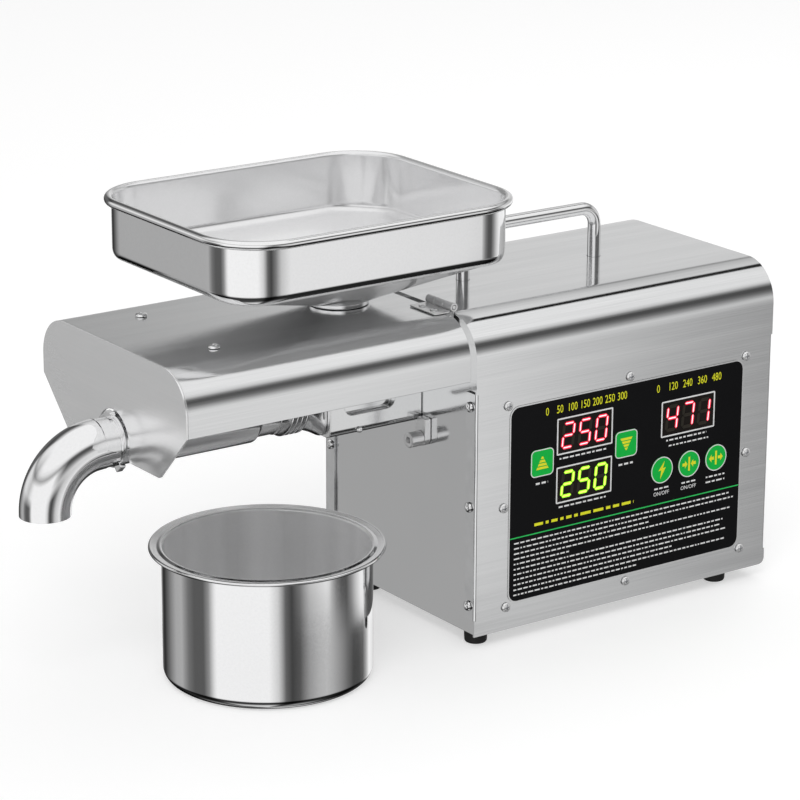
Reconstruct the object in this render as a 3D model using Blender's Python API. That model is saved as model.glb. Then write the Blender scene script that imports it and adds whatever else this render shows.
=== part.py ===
"""Screw oil press: feed tray, hinged hood, heated press barrel, gear motor, control housing and oil cup.

Metres, +Z up. +X runs from the spout to the motor end, -Y is the control panel's side. The origin is on the
floor, under the middle of the machine's box. Lengths below are measured from the housing's front face (x),
from the middle plane (y) and from the floor (z).
"""

import math

import bmesh
import bpy
from mathutils import Matrix, Vector

# Clearances and sheet
GAP = 0.0003
SHEET = 0.0012

# Housing
HOUSING_WIDTH = 0.1572
FOOT_HEIGHT = 0.008
EDGE_RADIUS = 0.025
FLANGE_WIDTH = 0.010
FLANGE_LOW = 0.018
FLANGE_BELOW_TOP = 0.0446
PLATE_THICKNESS = 0.0015
TRAY_RIM = 0.0055
FLANGE_SCREW_END = 0.0085
FLANGE_SCREW_INSET = 0.0062
SCREW_SHANK = 0.0015
SCREW_HEAD = 0.0029
SCREW_HEAD_HEIGHT = 0.0015
SCREW_LENGTH = 0.006
SHAFT_HOLE_CLEARANCE = 0.003

# Feet
FOOT_RADIUS = 0.007
FOOT_TAPER = 0.0006
FOOT_STEM = 0.0022
FOOT_STEM_ABOVE = 0.0025
FOOT_FRONT = 0.0105
FOOT_FROM_REAR = 0.0301
FOOT_NEAR = 0.0126
FOOT_FAR = 0.0346

# Carry handle
HANDLE_ROD = 0.004
HANDLE_FRONT = 0.047
HANDLE_SPAN = 0.100
HANDLE_RISE = 0.0311
HANDLE_BEND = 0.011
HANDLE_TAIL = 0.010
NUT_WALL = 0.0035
NUT_HEIGHT = 0.005

# Control panel, in its window on the near side
PANEL_FROM_FRONT = 0.0249
PANEL_FROM_REAR = 0.0232
PANEL_HEIGHT = 0.1209
PANEL_CORNER = 0.006
PANEL_LOW = 0.0245
PANEL_THICKNESS = 0.0014
PANEL_PROUD = 0.0002
PANEL_SCREW_CORNER = 0.002
PANEL_SCREW_SIDE = 0.0045
FRAME_RIM = 0.010
FRAME_LIP = 0.0033
FRAME_THICKNESS = 0.0015
BOARD_DEPTH = 0.007
BOARD_THICKNESS = 0.0016
BOARD_ABOVE_PANEL_LOW = 0.0155
BOARD_POST = 0.003

# Keys and displays, in columns from the panel's front edge
DISPLAY_LENGTH = 0.0417
DISPLAY_HEIGHT = 0.0224
DISPLAY_CORNER = 0.0006
KEY_SIDE = 0.0168
KEY_CORNER = 0.003
ROUND_KEY = 0.0084
KEY_SKIRT = 0.0015
KEY_TRAVEL = 0.0006
KEY_STEM = 0.0025
FRONT_BORDER = 0.0152
REAR_BORDER = 0.0112
KEY_SPACE = 0.0025
GROUP_SPACE = 0.0117
ROUND_KEY_PITCH = 0.0214
TIMER_SHIFT = -0.0019
CURRENT_ROW = 0.0366
SET_ROW = 0.0063
TIMER_ROW = 0.0329
SQUARE_KEY_ROW = 0.0230
ROUND_KEY_ROW = 0.0010

# Hood and its hinges
HOOD_REACH = 0.1963
HOOD_SEAM = 0.0046
HOOD_PROUD = 0.0003
HOOD_EDGE_RADIUS = 0.024
HOOD_SKIRT = 0.0357
PANEL_TOP_TO_TOP = 0.057
END_PLATE_DROP = 0.010
END_PLATE_HALF = 0.050
END_PLATE_CORNER = 0.005
HOOD_SCREW_FROM_FRONT = 0.0431
HINGE_FROM_SIDE = 0.0226
HINGE_FROM_BLOCK = 0.0025
HINGE_BARREL = 0.0025
HINGE_PIN = 0.0012
HINGE_LEAF = 0.0135
HINGE_SHEET = 0.0010
HINGE_LEAF_DROP = 0.0157
HINGE_TAB_DROP = 0.0137
HINGE_SCREW = 0.0024
HINGE_SCREW_HEAD = 0.0007
HINGE_SCREW_FROM_EDGE = 0.0042
HINGE_SCREW_SHARE = 0.28

# Press
AXIS_BELOW_TOP = 0.0556
BLOCK_LENGTH = 0.064
BLOCK_WALL = 0.003
BLOCK_DROP = 0.0192
BLOCK_BELOW_TOP = 0.0124
BLOCK_EDGE = 0.005
SLOT_LENGTH = 0.036
SLOT_HEIGHT = 0.028
SLOT_CORNER = 0.006
SLOT_LIFT = 0.0124
SLOT_SHIFT = 0.007
SLOT_DEPTH = 0.004
BLOCK_BOLT = 0.0018
BLOCK_BOLT_HEAD = 0.0008
BLOCK_BOLT_DEPTH = 0.003
SCREW_RADIUS = 0.0135
SCREW_CORE = 0.0085
SCREW_PITCH = 0.026
SCREW_POINT = 0.012
BORE_CLEARANCE = 0.001
THROAT_X = -0.043
THROAT_INSET = 0.002
BARREL_COLLAR = 0.003
FIN_COUNT = 4
FIN_PITCH = 0.0038
FIN_HEIGHT = 0.002
FIN_WIDTH = 0.0018
FIN_SLOPE = 0.0004
NECK_WALL = 0.0045
TUBE_WALL = 0.002
NECK_START = 0.082
HEATER_START = 0.101
HEATER_WALL = 0.0035
HEATER_SHOULDER = 0.003
HEATER_FROM_END = 0.008
DRAIN_SLOTS = 3
DRAIN_WIDTH = 0.0016
DRAIN_REACH = 0.006
NOZZLE_LENGTH = 0.0223
NOZZLE_WALL = 0.001
NOZZLE_STEP = 0.003
NOZZLE_LAND = 0.010
NOZZLE_LEAD = 0.004

# Cake spout
SPOUT_WALL = 0.0012
SPOUT_BEND = 0.034
SPOUT_STRAIGHT = 0.0069
SPOUT_DROP = 0.0078
COLLAR_LIP = 0.0007
COLLAR_SHOULDER = 0.00055
COLLAR_STAND_OFF = 0.0023
COLLAR_RING = 0.0024
COLLAR_SEAT = 0.0012
SLEEVE_WALL = 0.0006
SLEEVE_LENGTH = 0.0085
EAR_LENGTH = 0.0029
EAR_WIDTH = 0.007
EAR_ANGLE = math.radians(50.5)
NOTCH_CLEARANCE = 0.001

# Block latch on the front plate
LATCH_SIDE = 0.0045
LATCH_DROP = 0.0086
LATCH_RADIUS = 0.0048
LATCH_REACH = 0.0125
LATCH_CHAMFER = 0.002
LATCH_SLOPE = 0.005
LATCH_THICKNESS = 0.003
LATCH_SCREW = 0.002
LATCH_SCREW_HEAD = 0.0025
LATCH_SCREW_LENGTH = 0.0065
LATCH_SOCKET = 0.0019
LATCH_SOCKET_DEPTH = 0.003

# Feed hopper
TRAY_LENGTH = 0.2055
TRAY_WIDTH = 0.169
TRAY_CORNER = 0.038
TRAY_MIDDLE = -0.0637
TRAY_RISE = 0.0681
TRAY_DEPTH = 0.0325
TRAY_FLOOR_RADIUS = 0.007
RIM_WIDTH = 0.0042
RIM_HEIGHT = 0.0042
RIM_ROLL = 0.0013
TRAY_SHEET = 0.0010
NECK_RADIUS = 0.020
NECK_RISE = 0.0096
NECK_LIP = 0.0025
NECK_LIP_THICKNESS = 0.0014
SPIGOT_STEP = 0.0008
SPIGOT_DEPTH = 0.008

# Oil cup
CUP_X = -0.1179
CUP_Y = -0.0372
CUP_FLANGE = 0.0074
CUP_RADIUS = 0.061
CUP_HEIGHT = 0.0797
CUP_SHEET = 0.0010
CUP_LIP = 0.0022
CUP_EDGE = 0.008

# Gear train: two stages of spur gears down from the motor
STAGE_MODULES = (0.0012, 0.0015)
PINION_TEETH = 12
GEAR_TEETH = 48
PRESSURE_ANGLE = math.radians(25)
BACKLASH = 0.00022
GEAR_WIDTHS = (0.008, 0.012)
GEAR_SPACE = 0.002
SHAFT_RADIUS = 0.009
SHAFT_TAIL = 0.008
SHAFT_COLLAR = 0.002
DRIVE_SOCKET = 0.0062
DRIVE_DEPTH = 0.012
COUNTER_SHAFT = 0.004
STUB_POCKET = 0.003
BEARING_WALL = 0.0057
REAR_BEARING_WALL = 0.0047
CASE_WALL = 0.003
CASE_MARGIN = 0.002
CASE_LENGTH = 0.0404
CASE_REAR = 0.004
COVER_THICKNESS = 0.006

# Motor
MOTOR_RADIUS = 0.038
MOTOR_WALL = 0.002
MOTOR_LENGTH = 0.0957
MOTOR_CAP = 0.004
MOTOR_VENT = 0.007
MAGNET_THICKNESS = 0.0055
MAGNET_FRONT = 0.016
MAGNET_REAR = 0.022
ROTOR_GAP = 0.001
ROTOR_INSET = 0.003
ROTOR_SHAFT = 0.004
COMMUTATOR = 0.013
MOTOR_FAN_HUB = 0.010
MOTOR_FAN_RADIUS = 0.030
MOTOR_FAN_WIDTH = 0.009
MOTOR_FAN_SPACE = 0.003
BLADES = 8

# Cooling fan, mains inlet, switch and drive board
FAN_SIDE = 0.080
FAN_CORNER = 0.004
FAN_DEPTH = 0.015
FAN_HEIGHT = 0.128
FAN_EDGE = 0.0025
FAN_HUB = 0.014
FAN_SPOKE = 0.002
FAN_PIN = 0.0015
FAN_SPACE = 0.0005
GRILLE_SLOT = 0.004
GRILLE_SLOTS = 7
GRILLE_EDGE = 0.003
INLET_Y = 0.034
SWITCH_Y = -0.030
SERVICE_HEIGHT = 0.045
INLET_WIDTH = 0.0276
INLET_HEIGHT = 0.0200
INLET_FLANGE = (0.050, 0.0235)
INLET_CORNER = 0.003
INLET_DEPTH = 0.019
INLET_WALL = 0.002
INLET_CHAMFER = 0.004
INLET_PIN = (0.002, 0.004)
INLET_PINS = ((-0.007, -0.002), (0, 0.002), (0.007, -0.002))
INLET_PIN_RECESS = 0.003
SWITCH_WIDTH = 0.013
SWITCH_HEIGHT = 0.019
SWITCH_FLANGE = (0.015, 0.0212)
SWITCH_DEPTH = 0.015
SWITCH_WALL = 0.0015
ROCKER_SWING = math.radians(24)
ROCKER_DEPTH = 0.0062
ROCKER_SPACE = 0.0012
ROCKER_TIP = 0.0044
ROCKER_MIDDLE = 0.0024
ROCKER_EDGE = 0.003
SERVICE_FLANGE = 0.0018
DRIVE_BOARD = (0.090, 0.028)
DRIVE_BOARD_FROM_FRONT = 0.070
DRIVE_BOARD_FROM_SIDE = 0.0206
DRIVE_BOARD_LIFT = 0.006
DRIVE_BOARD_POST = 0.002
DRIVE_BOARD_POST_INSET = 0.004
HEAT_SINK = (0.022, 0.018, 0.018)
TRANSFORMER = (0.014, 0.012, 0.012)
CAPACITOR = (0.006, 0.022)
PART_SPACE = 0.008

# Places worked out from the sizes above
RAISE_X = PANEL_FROM_FRONT + FRONT_BORDER + KEY_SIDE / 2
LEFT_DISPLAY_X = RAISE_X + KEY_SIDE / 2 + KEY_SPACE + DISPLAY_LENGTH / 2
LOWER_X = LEFT_DISPLAY_X + DISPLAY_LENGTH / 2 + KEY_SPACE + KEY_SIDE / 2
POWER_X = LOWER_X + KEY_SIDE / 2 + GROUP_SPACE + ROUND_KEY
PRESS_X = POWER_X + ROUND_KEY_PITCH
REVERSE_X = PRESS_X + ROUND_KEY_PITCH
PANEL_LENGTH = REVERSE_X + ROUND_KEY + REAR_BORDER - PANEL_FROM_FRONT
PANEL_MIDDLE = PANEL_FROM_FRONT + PANEL_LENGTH / 2
PANEL_CENTRE = PANEL_LOW + PANEL_HEIGHT / 2
BOARD_LOW = PANEL_LOW + BOARD_ABOVE_PANEL_LOW
HOUSING_LENGTH = PANEL_FROM_FRONT + PANEL_LENGTH + PANEL_FROM_REAR
HOUSING_TOP = PANEL_LOW + PANEL_HEIGHT + PANEL_TOP_TO_TOP
AXIS_HEIGHT = HOUSING_TOP - AXIS_BELOW_TOP
FLANGE_HIGH = HOUSING_TOP - FLANGE_BELOW_TOP
SIDE = HOUSING_WIDTH / 2
INNER_SIDE = SIDE - SHEET - GAP
TOP_INSIDE = HOUSING_TOP - SHEET
PLATE_FRONT = SHEET + GAP
PLATE_BACK = PLATE_FRONT + PLATE_THICKNESS
REAR_INSIDE = HOUSING_LENGTH - SHEET - GAP - PLATE_THICKNESS
PANEL_FACE = -SIDE - PANEL_PROUD
PANEL_BACK = PANEL_FACE + PANEL_THICKNESS
FRAME_FRONT = -SIDE + SHEET + GAP
FRAME_BACK = FRAME_FRONT + FRAME_THICKNESS
BOARD_FRONT = FRAME_BACK + BOARD_DEPTH
HOOD_WIDTH = HOUSING_WIDTH + 2 * HOOD_PROUD
SKIRT_LOW = HOUSING_TOP - HOOD_SKIRT
END_PLATE_LOW = AXIS_HEIGHT - END_PLATE_DROP
HINGE_HEIGHT = HOUSING_TOP + GAP + HINGE_BARREL
NECK_LIP_RADIUS = NECK_RADIUS + NECK_LIP
SPIGOT_RADIUS = NECK_RADIUS - SPIGOT_STEP
BLOCK_WIDTH = 2 * (SPIGOT_RADIUS + GAP + BLOCK_WALL)
HINGE_START = BLOCK_WIDTH / 2 + HINGE_FROM_BLOCK
HINGE_LENGTH = SIDE - HINGE_FROM_SIDE - HINGE_START
HINGE_MIDDLE = HINGE_START + HINGE_LENGTH / 2
BLOCK_LOW = AXIS_HEIGHT - BLOCK_DROP
BLOCK_TOP = HOUSING_TOP - BLOCK_BELOW_TOP
SLOT_LOW = BLOCK_LOW + SLOT_LIFT
BORE_RADIUS = SCREW_RADIUS + BORE_CLEARANCE
BARREL_TUBE = BORE_RADIUS + TUBE_WALL
BARREL_NECK = BORE_RADIUS + NECK_WALL
HEATER_RADIUS = BARREL_TUBE + HEATER_WALL
NOZZLE_RADIUS = BORE_RADIUS + NOZZLE_WALL
NOZZLE_MOUTH = BORE_RADIUS - NOZZLE_STEP
NOZZLE_END = HOOD_REACH + COLLAR_STAND_OFF
BARREL_END = NOZZLE_END - NOZZLE_LENGTH - GAP
HEATER_END = BARREL_END - HEATER_FROM_END
COLLAR_RADIUS = NOZZLE_RADIUS + COLLAR_LIP
SPOUT_RADIUS = COLLAR_RADIUS - COLLAR_SHOULDER - SLEEVE_WALL - GAP
SPOUT_START = NOZZLE_END + GAP + COLLAR_SEAT + GAP
SPOUT_REACH = SPOUT_START + SPOUT_STRAIGHT + SPOUT_BEND
SPOUT_LOW = AXIS_HEIGHT - SPOUT_BEND - SPOUT_DROP
TRAY_TOP = HOUSING_TOP + TRAY_RISE
TRAY_FLOOR = TRAY_TOP - TRAY_DEPTH
NECK_TOP = HOUSING_TOP + NECK_RISE
HOPPER_REST = HOUSING_TOP + GAP
SPIGOT_LOW = BLOCK_TOP - SPIGOT_DEPTH
CUP_RIM = CUP_RADIUS + CUP_FLANGE
FRONT_AXLE = PLATE_BACK + GAP
CASE_FRONT = FRONT_AXLE + COVER_THICKNESS + GAP
CASE_BACK = CASE_FRONT + CASE_LENGTH
CENTRES = tuple(module * (PINION_TEETH + GEAR_TEETH) / 2 for module in STAGE_MODULES)
# Each pair of centres lies on a 3-4-5 triangle, so the train folds back under the press axis.
COUNTER_Y = 0.6 * CENTRES[1]
COUNTER_Z = AXIS_HEIGHT - 0.8 * CENTRES[1]
MOTOR_Y = COUNTER_Y - 0.6 * CENTRES[0]
MOTOR_Z = COUNTER_Z - 0.8 * CENTRES[0]
FAN_BORE = FAN_SIDE / 2 - FAN_EDGE
INLET_FACE = HOUSING_LENGTH + GAP + SERVICE_FLANGE
LOW_X = -SPOUT_REACH - SPOUT_RADIUS
LOW_Y = min(CUP_Y - CUP_RIM, -TRAY_WIDTH / 2)
HIGH_Y = max(CUP_Y + CUP_RIM, TRAY_WIDTH / 2, HOOD_WIDTH / 2)
ORIGIN = Vector(((LOW_X + INLET_FACE) / 2, (LOW_Y + HIGH_Y) / 2, 0))

for old in list(bpy.data.objects):
    bpy.data.objects.remove(old)

machine = bpy.data.objects.new("machine", None)
machine.location = -ORIGIN
bpy.context.scene.collection.objects.link(machine)


def material(name, colour, metallic, roughness):
    made = bpy.data.materials.new(name)
    made.use_nodes = True
    shader = made.node_tree.nodes["Principled BSDF"]
    shader.inputs["Base Color"].default_value = (*colour, 1)
    shader.inputs["Metallic"].default_value = metallic
    shader.inputs["Roughness"].default_value = roughness
    return made


FINISHES = {
    "brushed": ((0.62, 0.63, 0.64), 1, 0.32),
    "polished": ((0.72, 0.72, 0.73), 1, 0.12),
    "chrome": ((0.80, 0.80, 0.81), 1, 0.08),
    "aluminium": ((0.55, 0.56, 0.58), 1, 0.45),
    "steel": ((0.42, 0.43, 0.45), 1, 0.35),
    "rubber": ((0.02, 0.02, 0.02), 0, 0.75),
    "black_gloss": ((0.01, 0.01, 0.012), 0, 0.15),
    "black_plastic": ((0.03, 0.03, 0.03), 0, 0.5),
    "green": ((0.02, 0.35, 0.10), 0, 0.35),
    "board": ((0.02, 0.16, 0.07), 0, 0.5),
    "copper": ((0.60, 0.30, 0.12), 1, 0.4),
}


def piece(name, shape, finish, pivot=(0, 0, 0)):
    """Makes a named object of a bmesh drawn in the machine's frame, with its origin at pivot."""
    bmesh.ops.recalc_face_normals(shape, faces=shape.faces)
    shape.transform(Matrix.Translation(-Vector(pivot)))
    mesh = bpy.data.meshes.new(name)
    shape.to_mesh(mesh)
    shape.free()
    mesh.shade_smooth()
    mesh.set_sharp_from_angle(angle=math.radians(35))
    mesh.materials.append(material(name, *FINISHES[finish]))
    made = bpy.data.objects.new(name, mesh)
    bpy.context.scene.collection.objects.link(made)
    made.parent = machine
    made.location = pivot
    return made


def combine(target, operation, shapes):
    """Cuts away or adds shapes that are apart from each other, with one Boolean."""
    tool_shape = bmesh.new()
    for shape in shapes:
        bmesh.ops.recalc_face_normals(shape, faces=shape.faces)
        mesh = bpy.data.meshes.new("shape")
        shape.to_mesh(mesh)
        shape.free()
        tool_shape.from_mesh(mesh)
        bpy.data.meshes.remove(mesh)
    tool_shape.transform(Matrix.Translation(-target.location))
    mesh = bpy.data.meshes.new(f"{target.name}_{operation.lower()}")
    tool_shape.to_mesh(mesh)
    tool_shape.free()
    tool = bpy.data.objects.new(mesh.name, mesh)
    bpy.context.scene.collection.objects.link(tool)
    tool.parent = machine
    tool.location = target.location
    tool.hide_render = True
    tool.display_type = "WIRE"
    modifier = target.modifiers.new(mesh.name, "BOOLEAN")
    modifier.operation = operation
    modifier.solver = "EXACT"
    modifier.object = tool


def cut(target, *shapes):
    combine(target, "DIFFERENCE", shapes)


def add(target, *shapes):
    combine(target, "UNION", shapes)


def loft(loops, ends=True):
    """Joins loops of equally many points. With ends, the first and last are filled, or else they join up."""
    shape = bmesh.new()
    rings = [[shape.verts.new(point) for point in loop] for loop in loops]
    pairs = list(zip(rings, rings[1:]))
    if not ends:
        pairs.append((rings[-1], rings[0]))
    for first, second in pairs:
        for i in range(len(first)):
            j = (i + 1) % len(first)
            shape.faces.new((first[i], first[j], second[j], second[i]))
    if ends:
        shape.faces.new(reversed(rings[0]))
        shape.faces.new(rings[-1])
    return shape


def on_axis(axis, a, b, along):
    """A point from two coordinates across an axis and one along it."""
    return {"X": (along, a, b), "Y": (a, along, b), "Z": (a, b, along)}[axis]


def prism(outline, axis, low, high):
    return loft([[on_axis(axis, a, b, t) for a, b in outline] for t in (low, high)])


def box(low, high):
    outline = [(low[0], low[1]), (high[0], low[1]), (high[0], high[1]), (low[0], high[1])]
    return prism(outline, "Z", low[2], high[2])


def arc(centre, radius, start, end, steps):
    """Points on an arc, angles in degrees."""
    angles = [math.radians(start + (end - start) * i / steps) for i in range(steps + 1)]
    return [(centre[0] + radius * math.cos(t), centre[1] + radius * math.sin(t)) for t in angles]


def circle(centre, radius, count, start=0.0):
    return arc(centre, radius, start, start + 360 - 360 / count, count - 1)


def rounded(centre, half_a, half_b, radius, steps=4):
    """A rectangle with rounded corners, anticlockwise."""
    points = []
    for k, (sign_a, sign_b) in enumerate(((1, 1), (-1, 1), (-1, -1), (1, -1))):
        corner = (centre[0] + sign_a * (half_a - radius), centre[1] + sign_b * (half_b - radius))
        points += arc(corner, radius, 90 * k, 90 * k + 90, steps)
    return points


def rod(axis, centre, radius, low, high, count=12):
    return prism(circle(centre, radius, count), axis, low, high)


def ring(axis, centre, outer, inner, low, high, count=20):
    loops = []
    for radius, along in ((outer, low), (outer, high), (inner, high), (inner, low)):
        loops.append([on_axis(axis, a, b, along) for a, b in circle(centre, radius, count)])
    return loft(loops, ends=False)


def turned(axis, centre, profile, count=24):
    """Turns a profile of (radius, along) points, which starts and ends on the axis or closes on itself."""
    shape = bmesh.new()
    rings = []
    for radius, along in profile:
        if radius == 0:
            rings.append([shape.verts.new(on_axis(axis, *centre, along))] * count)
        else:
            around = circle(centre, radius, count)
            rings.append([shape.verts.new(on_axis(axis, a, b, along)) for a, b in around])
    pairs = list(zip(rings, rings[1:]))
    if profile[0][0]:
        pairs.append((rings[-1], rings[0]))
    for first, second in pairs:
        for i in range(count):
            j = (i + 1) % count
            corners = list(dict.fromkeys((first[i], first[j], second[j], second[i])))
            if len(corners) > 2:
                shape.faces.new(corners)
    return shape


def bent_loops(path, y, radius, count):
    """Circles square to a path of (x, z) points in the plane at y."""
    loops = []
    for i, (x, z) in enumerate(path):
        before, after = path[max(i - 1, 0)], path[min(i + 1, len(path) - 1)]
        along = Vector((after[0] - before[0], 0, after[1] - before[1])).normalized()
        across = along.cross(Vector((0, 1, 0)))
        loops.append([
            Vector((x, y, z)) + radius * (math.cos(t) * across + math.sin(t) * Vector((0, 1, 0)))
            for t in (2 * math.pi * k / count for k in range(count))
        ])
    return loops


def arch(width, top, low, radius, inset=0, steps=6):
    """Half-width, top, lower edge and corner radius of a section that is open below, as a closed outline."""
    half = width / 2 - inset
    corner = radius - inset
    points = [(half, low)]
    points += arc((half - corner, top - inset - corner), corner, 0, 90, steps)
    points += arc((corner - half, top - inset - corner), corner, 90, 180, steps)
    return points + [(-half, low)]


def shell_section(width, top, low, radius):
    """The section of a sheet bent over both long edges."""
    return arch(width, top, low, radius) + arch(width, top, low, radius, SHEET)[::-1]


def screw_shape(axis, centre, seat, out, shank_to):
    """A round-headed screw: seat is where the head rests, out is the head's direction, +1 or -1."""
    top = seat + out * SCREW_HEAD_HEIGHT
    profile = [
        (0, top),
        (SCREW_HEAD * 0.6, top - out * 0.15 * SCREW_HEAD_HEIGHT),
        (SCREW_HEAD, seat + out * 0.3 * SCREW_HEAD_HEIGHT),
        (SCREW_HEAD, seat),
        (SCREW_SHANK, seat),
        (SCREW_SHANK, shank_to),
        (0, shank_to),
    ]
    return turned(axis, centre, profile, 8)


def hull(points):
    """The outline around points, anticlockwise."""
    points = sorted(points)
    sides = []
    for run in (points, points[::-1]):
        side = []
        for p in run:
            while len(side) > 1:
                (ax, ay), (bx, by) = side[-2], side[-1]
                if (bx - ax) * (p[1] - ay) > (by - ay) * (p[0] - ax) + 1e-12:
                    break
                side.pop()
            side.append(p)
        sides += side[:-1]
    return sides


def gear_outline(centre, module, teeth, turn, flank=2):
    """A spur gear's outline with involute flanks. turn is the direction of one tooth's middle."""
    pitch = module * teeth / 2
    base = pitch * math.cos(PRESSURE_ANGLE)
    root = pitch - 1.05 * module
    tip = pitch + 0.8 * module

    def half_angle(radius):
        lean = math.acos(min(1, base / radius))
        rolled = math.tan(PRESSURE_ANGLE) - PRESSURE_ANGLE - math.tan(lean) + lean
        return math.pi / (2 * teeth) - BACKLASH / (2 * pitch) + rolled

    radii = [root + (tip - root) * k / (flank - 1) for k in range(flank)]
    sides = [(r, half_angle(max(r, base))) for r in radii]
    tooth = [(r, -half) for r, half in sides] + [(r, half) for r, half in reversed(sides)]
    outline = []
    for k in range(teeth):
        middle = turn + 2 * math.pi * k / teeth
        for r, aside in tooth:
            t = middle + aside
            outline.append((centre[0] + r * math.cos(t), centre[1] + r * math.sin(t)))
    return outline


def panel_screws():
    """Screw centres (x, z) around the control panel: the corners and the middles of the sides."""
    half_l, half_h = PANEL_LENGTH / 2, PANEL_HEIGHT / 2
    corner_l, corner_h = half_l + PANEL_SCREW_CORNER, half_h + PANEL_SCREW_CORNER
    places = [(a * corner_l, b * corner_h) for a in (-1, 1) for b in (-1, 1)]
    places += [(0, b * (half_h + PANEL_SCREW_SIDE)) for b in (-1, 1)]
    places += [(a * (half_l + PANEL_SCREW_SIDE), 0) for a in (-1, 1)]
    return [(PANEL_MIDDLE + a, PANEL_CENTRE + b) for a, b in places]


def flange_screws():
    """Screw centres (y, z) on the end flanges."""
    across = SIDE - FLANGE_SCREW_INSET
    low, high = FLANGE_LOW + FLANGE_SCREW_END, FLANGE_HIGH - FLANGE_SCREW_END
    return [(side * across, height) for side in (-1, 1) for height in (low, (low + high) / 2, high)]


def foot_places():
    near, far = FOOT_NEAR - SIDE, SIDE - FOOT_FAR
    rear = HOUSING_LENGTH - FOOT_FROM_REAR
    return {
        "foot_front_near": (FOOT_FRONT, near),
        "foot_front_far": (FOOT_FRONT, far),
        "foot_rear_near": (rear, near),
        "foot_rear_far": (rear, far),
    }


def housing_cover():
    section = shell_section(HOUSING_WIDTH, HOUSING_TOP, FOOT_HEIGHT, EDGE_RADIUS)
    cover = piece("housing_cover", prism(section, "X", 0, HOUSING_LENGTH), "brushed")
    flanges = []
    for low in (0, HOUSING_LENGTH - SHEET):
        for side in (-1, 1):
            inner, outer = sorted((side * (SIDE - FLANGE_WIDTH), side * (SIDE - SHEET / 2)))
            flanges.append(box((low, inner, FLANGE_LOW), (low + SHEET, outer, FLANGE_HIGH)))
    add(cover, *flanges)
    half_l, half_h = PANEL_LENGTH / 2 + GAP, PANEL_HEIGHT / 2 + GAP
    window = rounded((PANEL_MIDDLE, PANEL_CENTRE), half_l, half_h, PANEL_CORNER + GAP)
    hole = SCREW_SHANK + GAP
    outside, inside = -SIDE - SHEET, -SIDE + 2 * SHEET
    cuts = [prism(window, "Y", outside, inside)]
    cuts += [rod("Y", place, hole, outside, inside, 8) for place in panel_screws()]
    for low in (-SHEET, HOUSING_LENGTH - 2 * SHEET):
        cuts += [rod("X", place, hole, low, low + 3 * SHEET, 8) for place in flange_screws()]
    for x in (HANDLE_FRONT, HANDLE_FRONT + HANDLE_SPAN):
        cuts.append(rod("Z", (x, 0), HANDLE_ROD + GAP, HOUSING_TOP - 2 * SHEET, HOUSING_TOP + SHEET))
    cut(cover, *cuts)


def end_plates():
    """The plates behind the cover's end flanges, with the flange screws that thread into them."""
    low = FOOT_HEIGHT + GAP
    inside = arch(HOUSING_WIDTH, HOUSING_TOP, low, EDGE_RADIUS, SHEET + GAP)
    half = PLATE_THICKNESS / 2
    front = piece("front_plate", prism(inside, "X", PLATE_FRONT, PLATE_BACK), "polished")
    add(front, *[screw_shape("X", place, -GAP, -1, PLATE_FRONT + half) for place in flange_screws()])
    shaft_hole = SHAFT_RADIUS + SHAFT_HOLE_CLEARANCE
    cut(front, rod("X", (0, AXIS_HEIGHT), shaft_hole, 0, PLATE_BACK + SHEET, 24))

    rear = piece("rear_panel", prism(inside, "X", REAR_INSIDE, REAR_INSIDE + PLATE_THICKNESS), "brushed")
    back = HOUSING_LENGTH + GAP
    add(rear, *[screw_shape("X", place, back, 1, REAR_INSIDE + half) for place in flange_screws()])
    before = REAR_INSIDE - SHEET
    openings = []
    for k in range(GRILLE_SLOTS):
        y = (k - (GRILLE_SLOTS - 1) / 2) * FAN_SIDE / (GRILLE_SLOTS + 2)
        reach = math.sqrt(FAN_BORE ** 2 - y ** 2) - GRILLE_EDGE
        edge = GRILLE_SLOT / 2
        openings.append(box((before, y - edge, FAN_HEIGHT - reach), (back, y + edge, FAN_HEIGHT + reach)))
    services = ((INLET_Y, INLET_WIDTH, INLET_HEIGHT), (SWITCH_Y, SWITCH_WIDTH, SWITCH_HEIGHT))
    for y, width, height in services:
        half_w, half_h = width / 2 + GAP, height / 2 + GAP
        low_corner = (before, y - half_w, SERVICE_HEIGHT - half_h)
        openings.append(box(low_corner, (back, y + half_w, SERVICE_HEIGHT + half_h)))
    cut(rear, *openings)


def base_and_feet():
    rim = FOOT_HEIGHT + TRAY_RIM
    floor = FOOT_HEIGHT + SHEET
    inner = INNER_SIDE - SHEET
    section = [(-INNER_SIDE, FOOT_HEIGHT), (INNER_SIDE, FOOT_HEIGHT), (INNER_SIDE, rim), (inner, rim)]
    section += [(inner, floor), (-inner, floor), (-inner, rim), (-INNER_SIDE, rim)]
    tray = piece("base_tray", prism(section, "X", PLATE_BACK + GAP, REAR_INSIDE - GAP), "brushed")
    foot_top = FOOT_HEIGHT - GAP
    stem_top = floor + FOOT_STEM_ABOVE
    profile = [
        (0, 0),
        (FOOT_RADIUS - FOOT_TAPER, 0),
        (FOOT_RADIUS, 0.8 * FOOT_HEIGHT),
        (FOOT_RADIUS, foot_top),
        (FOOT_STEM, foot_top),
        (FOOT_STEM, stem_top),
        (0, stem_top),
    ]
    holes = []
    for name, place in foot_places().items():
        piece(name, turned("Z", place, profile, 16), "rubber")
        holes.append(rod("Z", place, FOOT_STEM + GAP, FOOT_HEIGHT - SHEET, floor + SHEET, 8))
    cut(tray, *holes)


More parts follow.
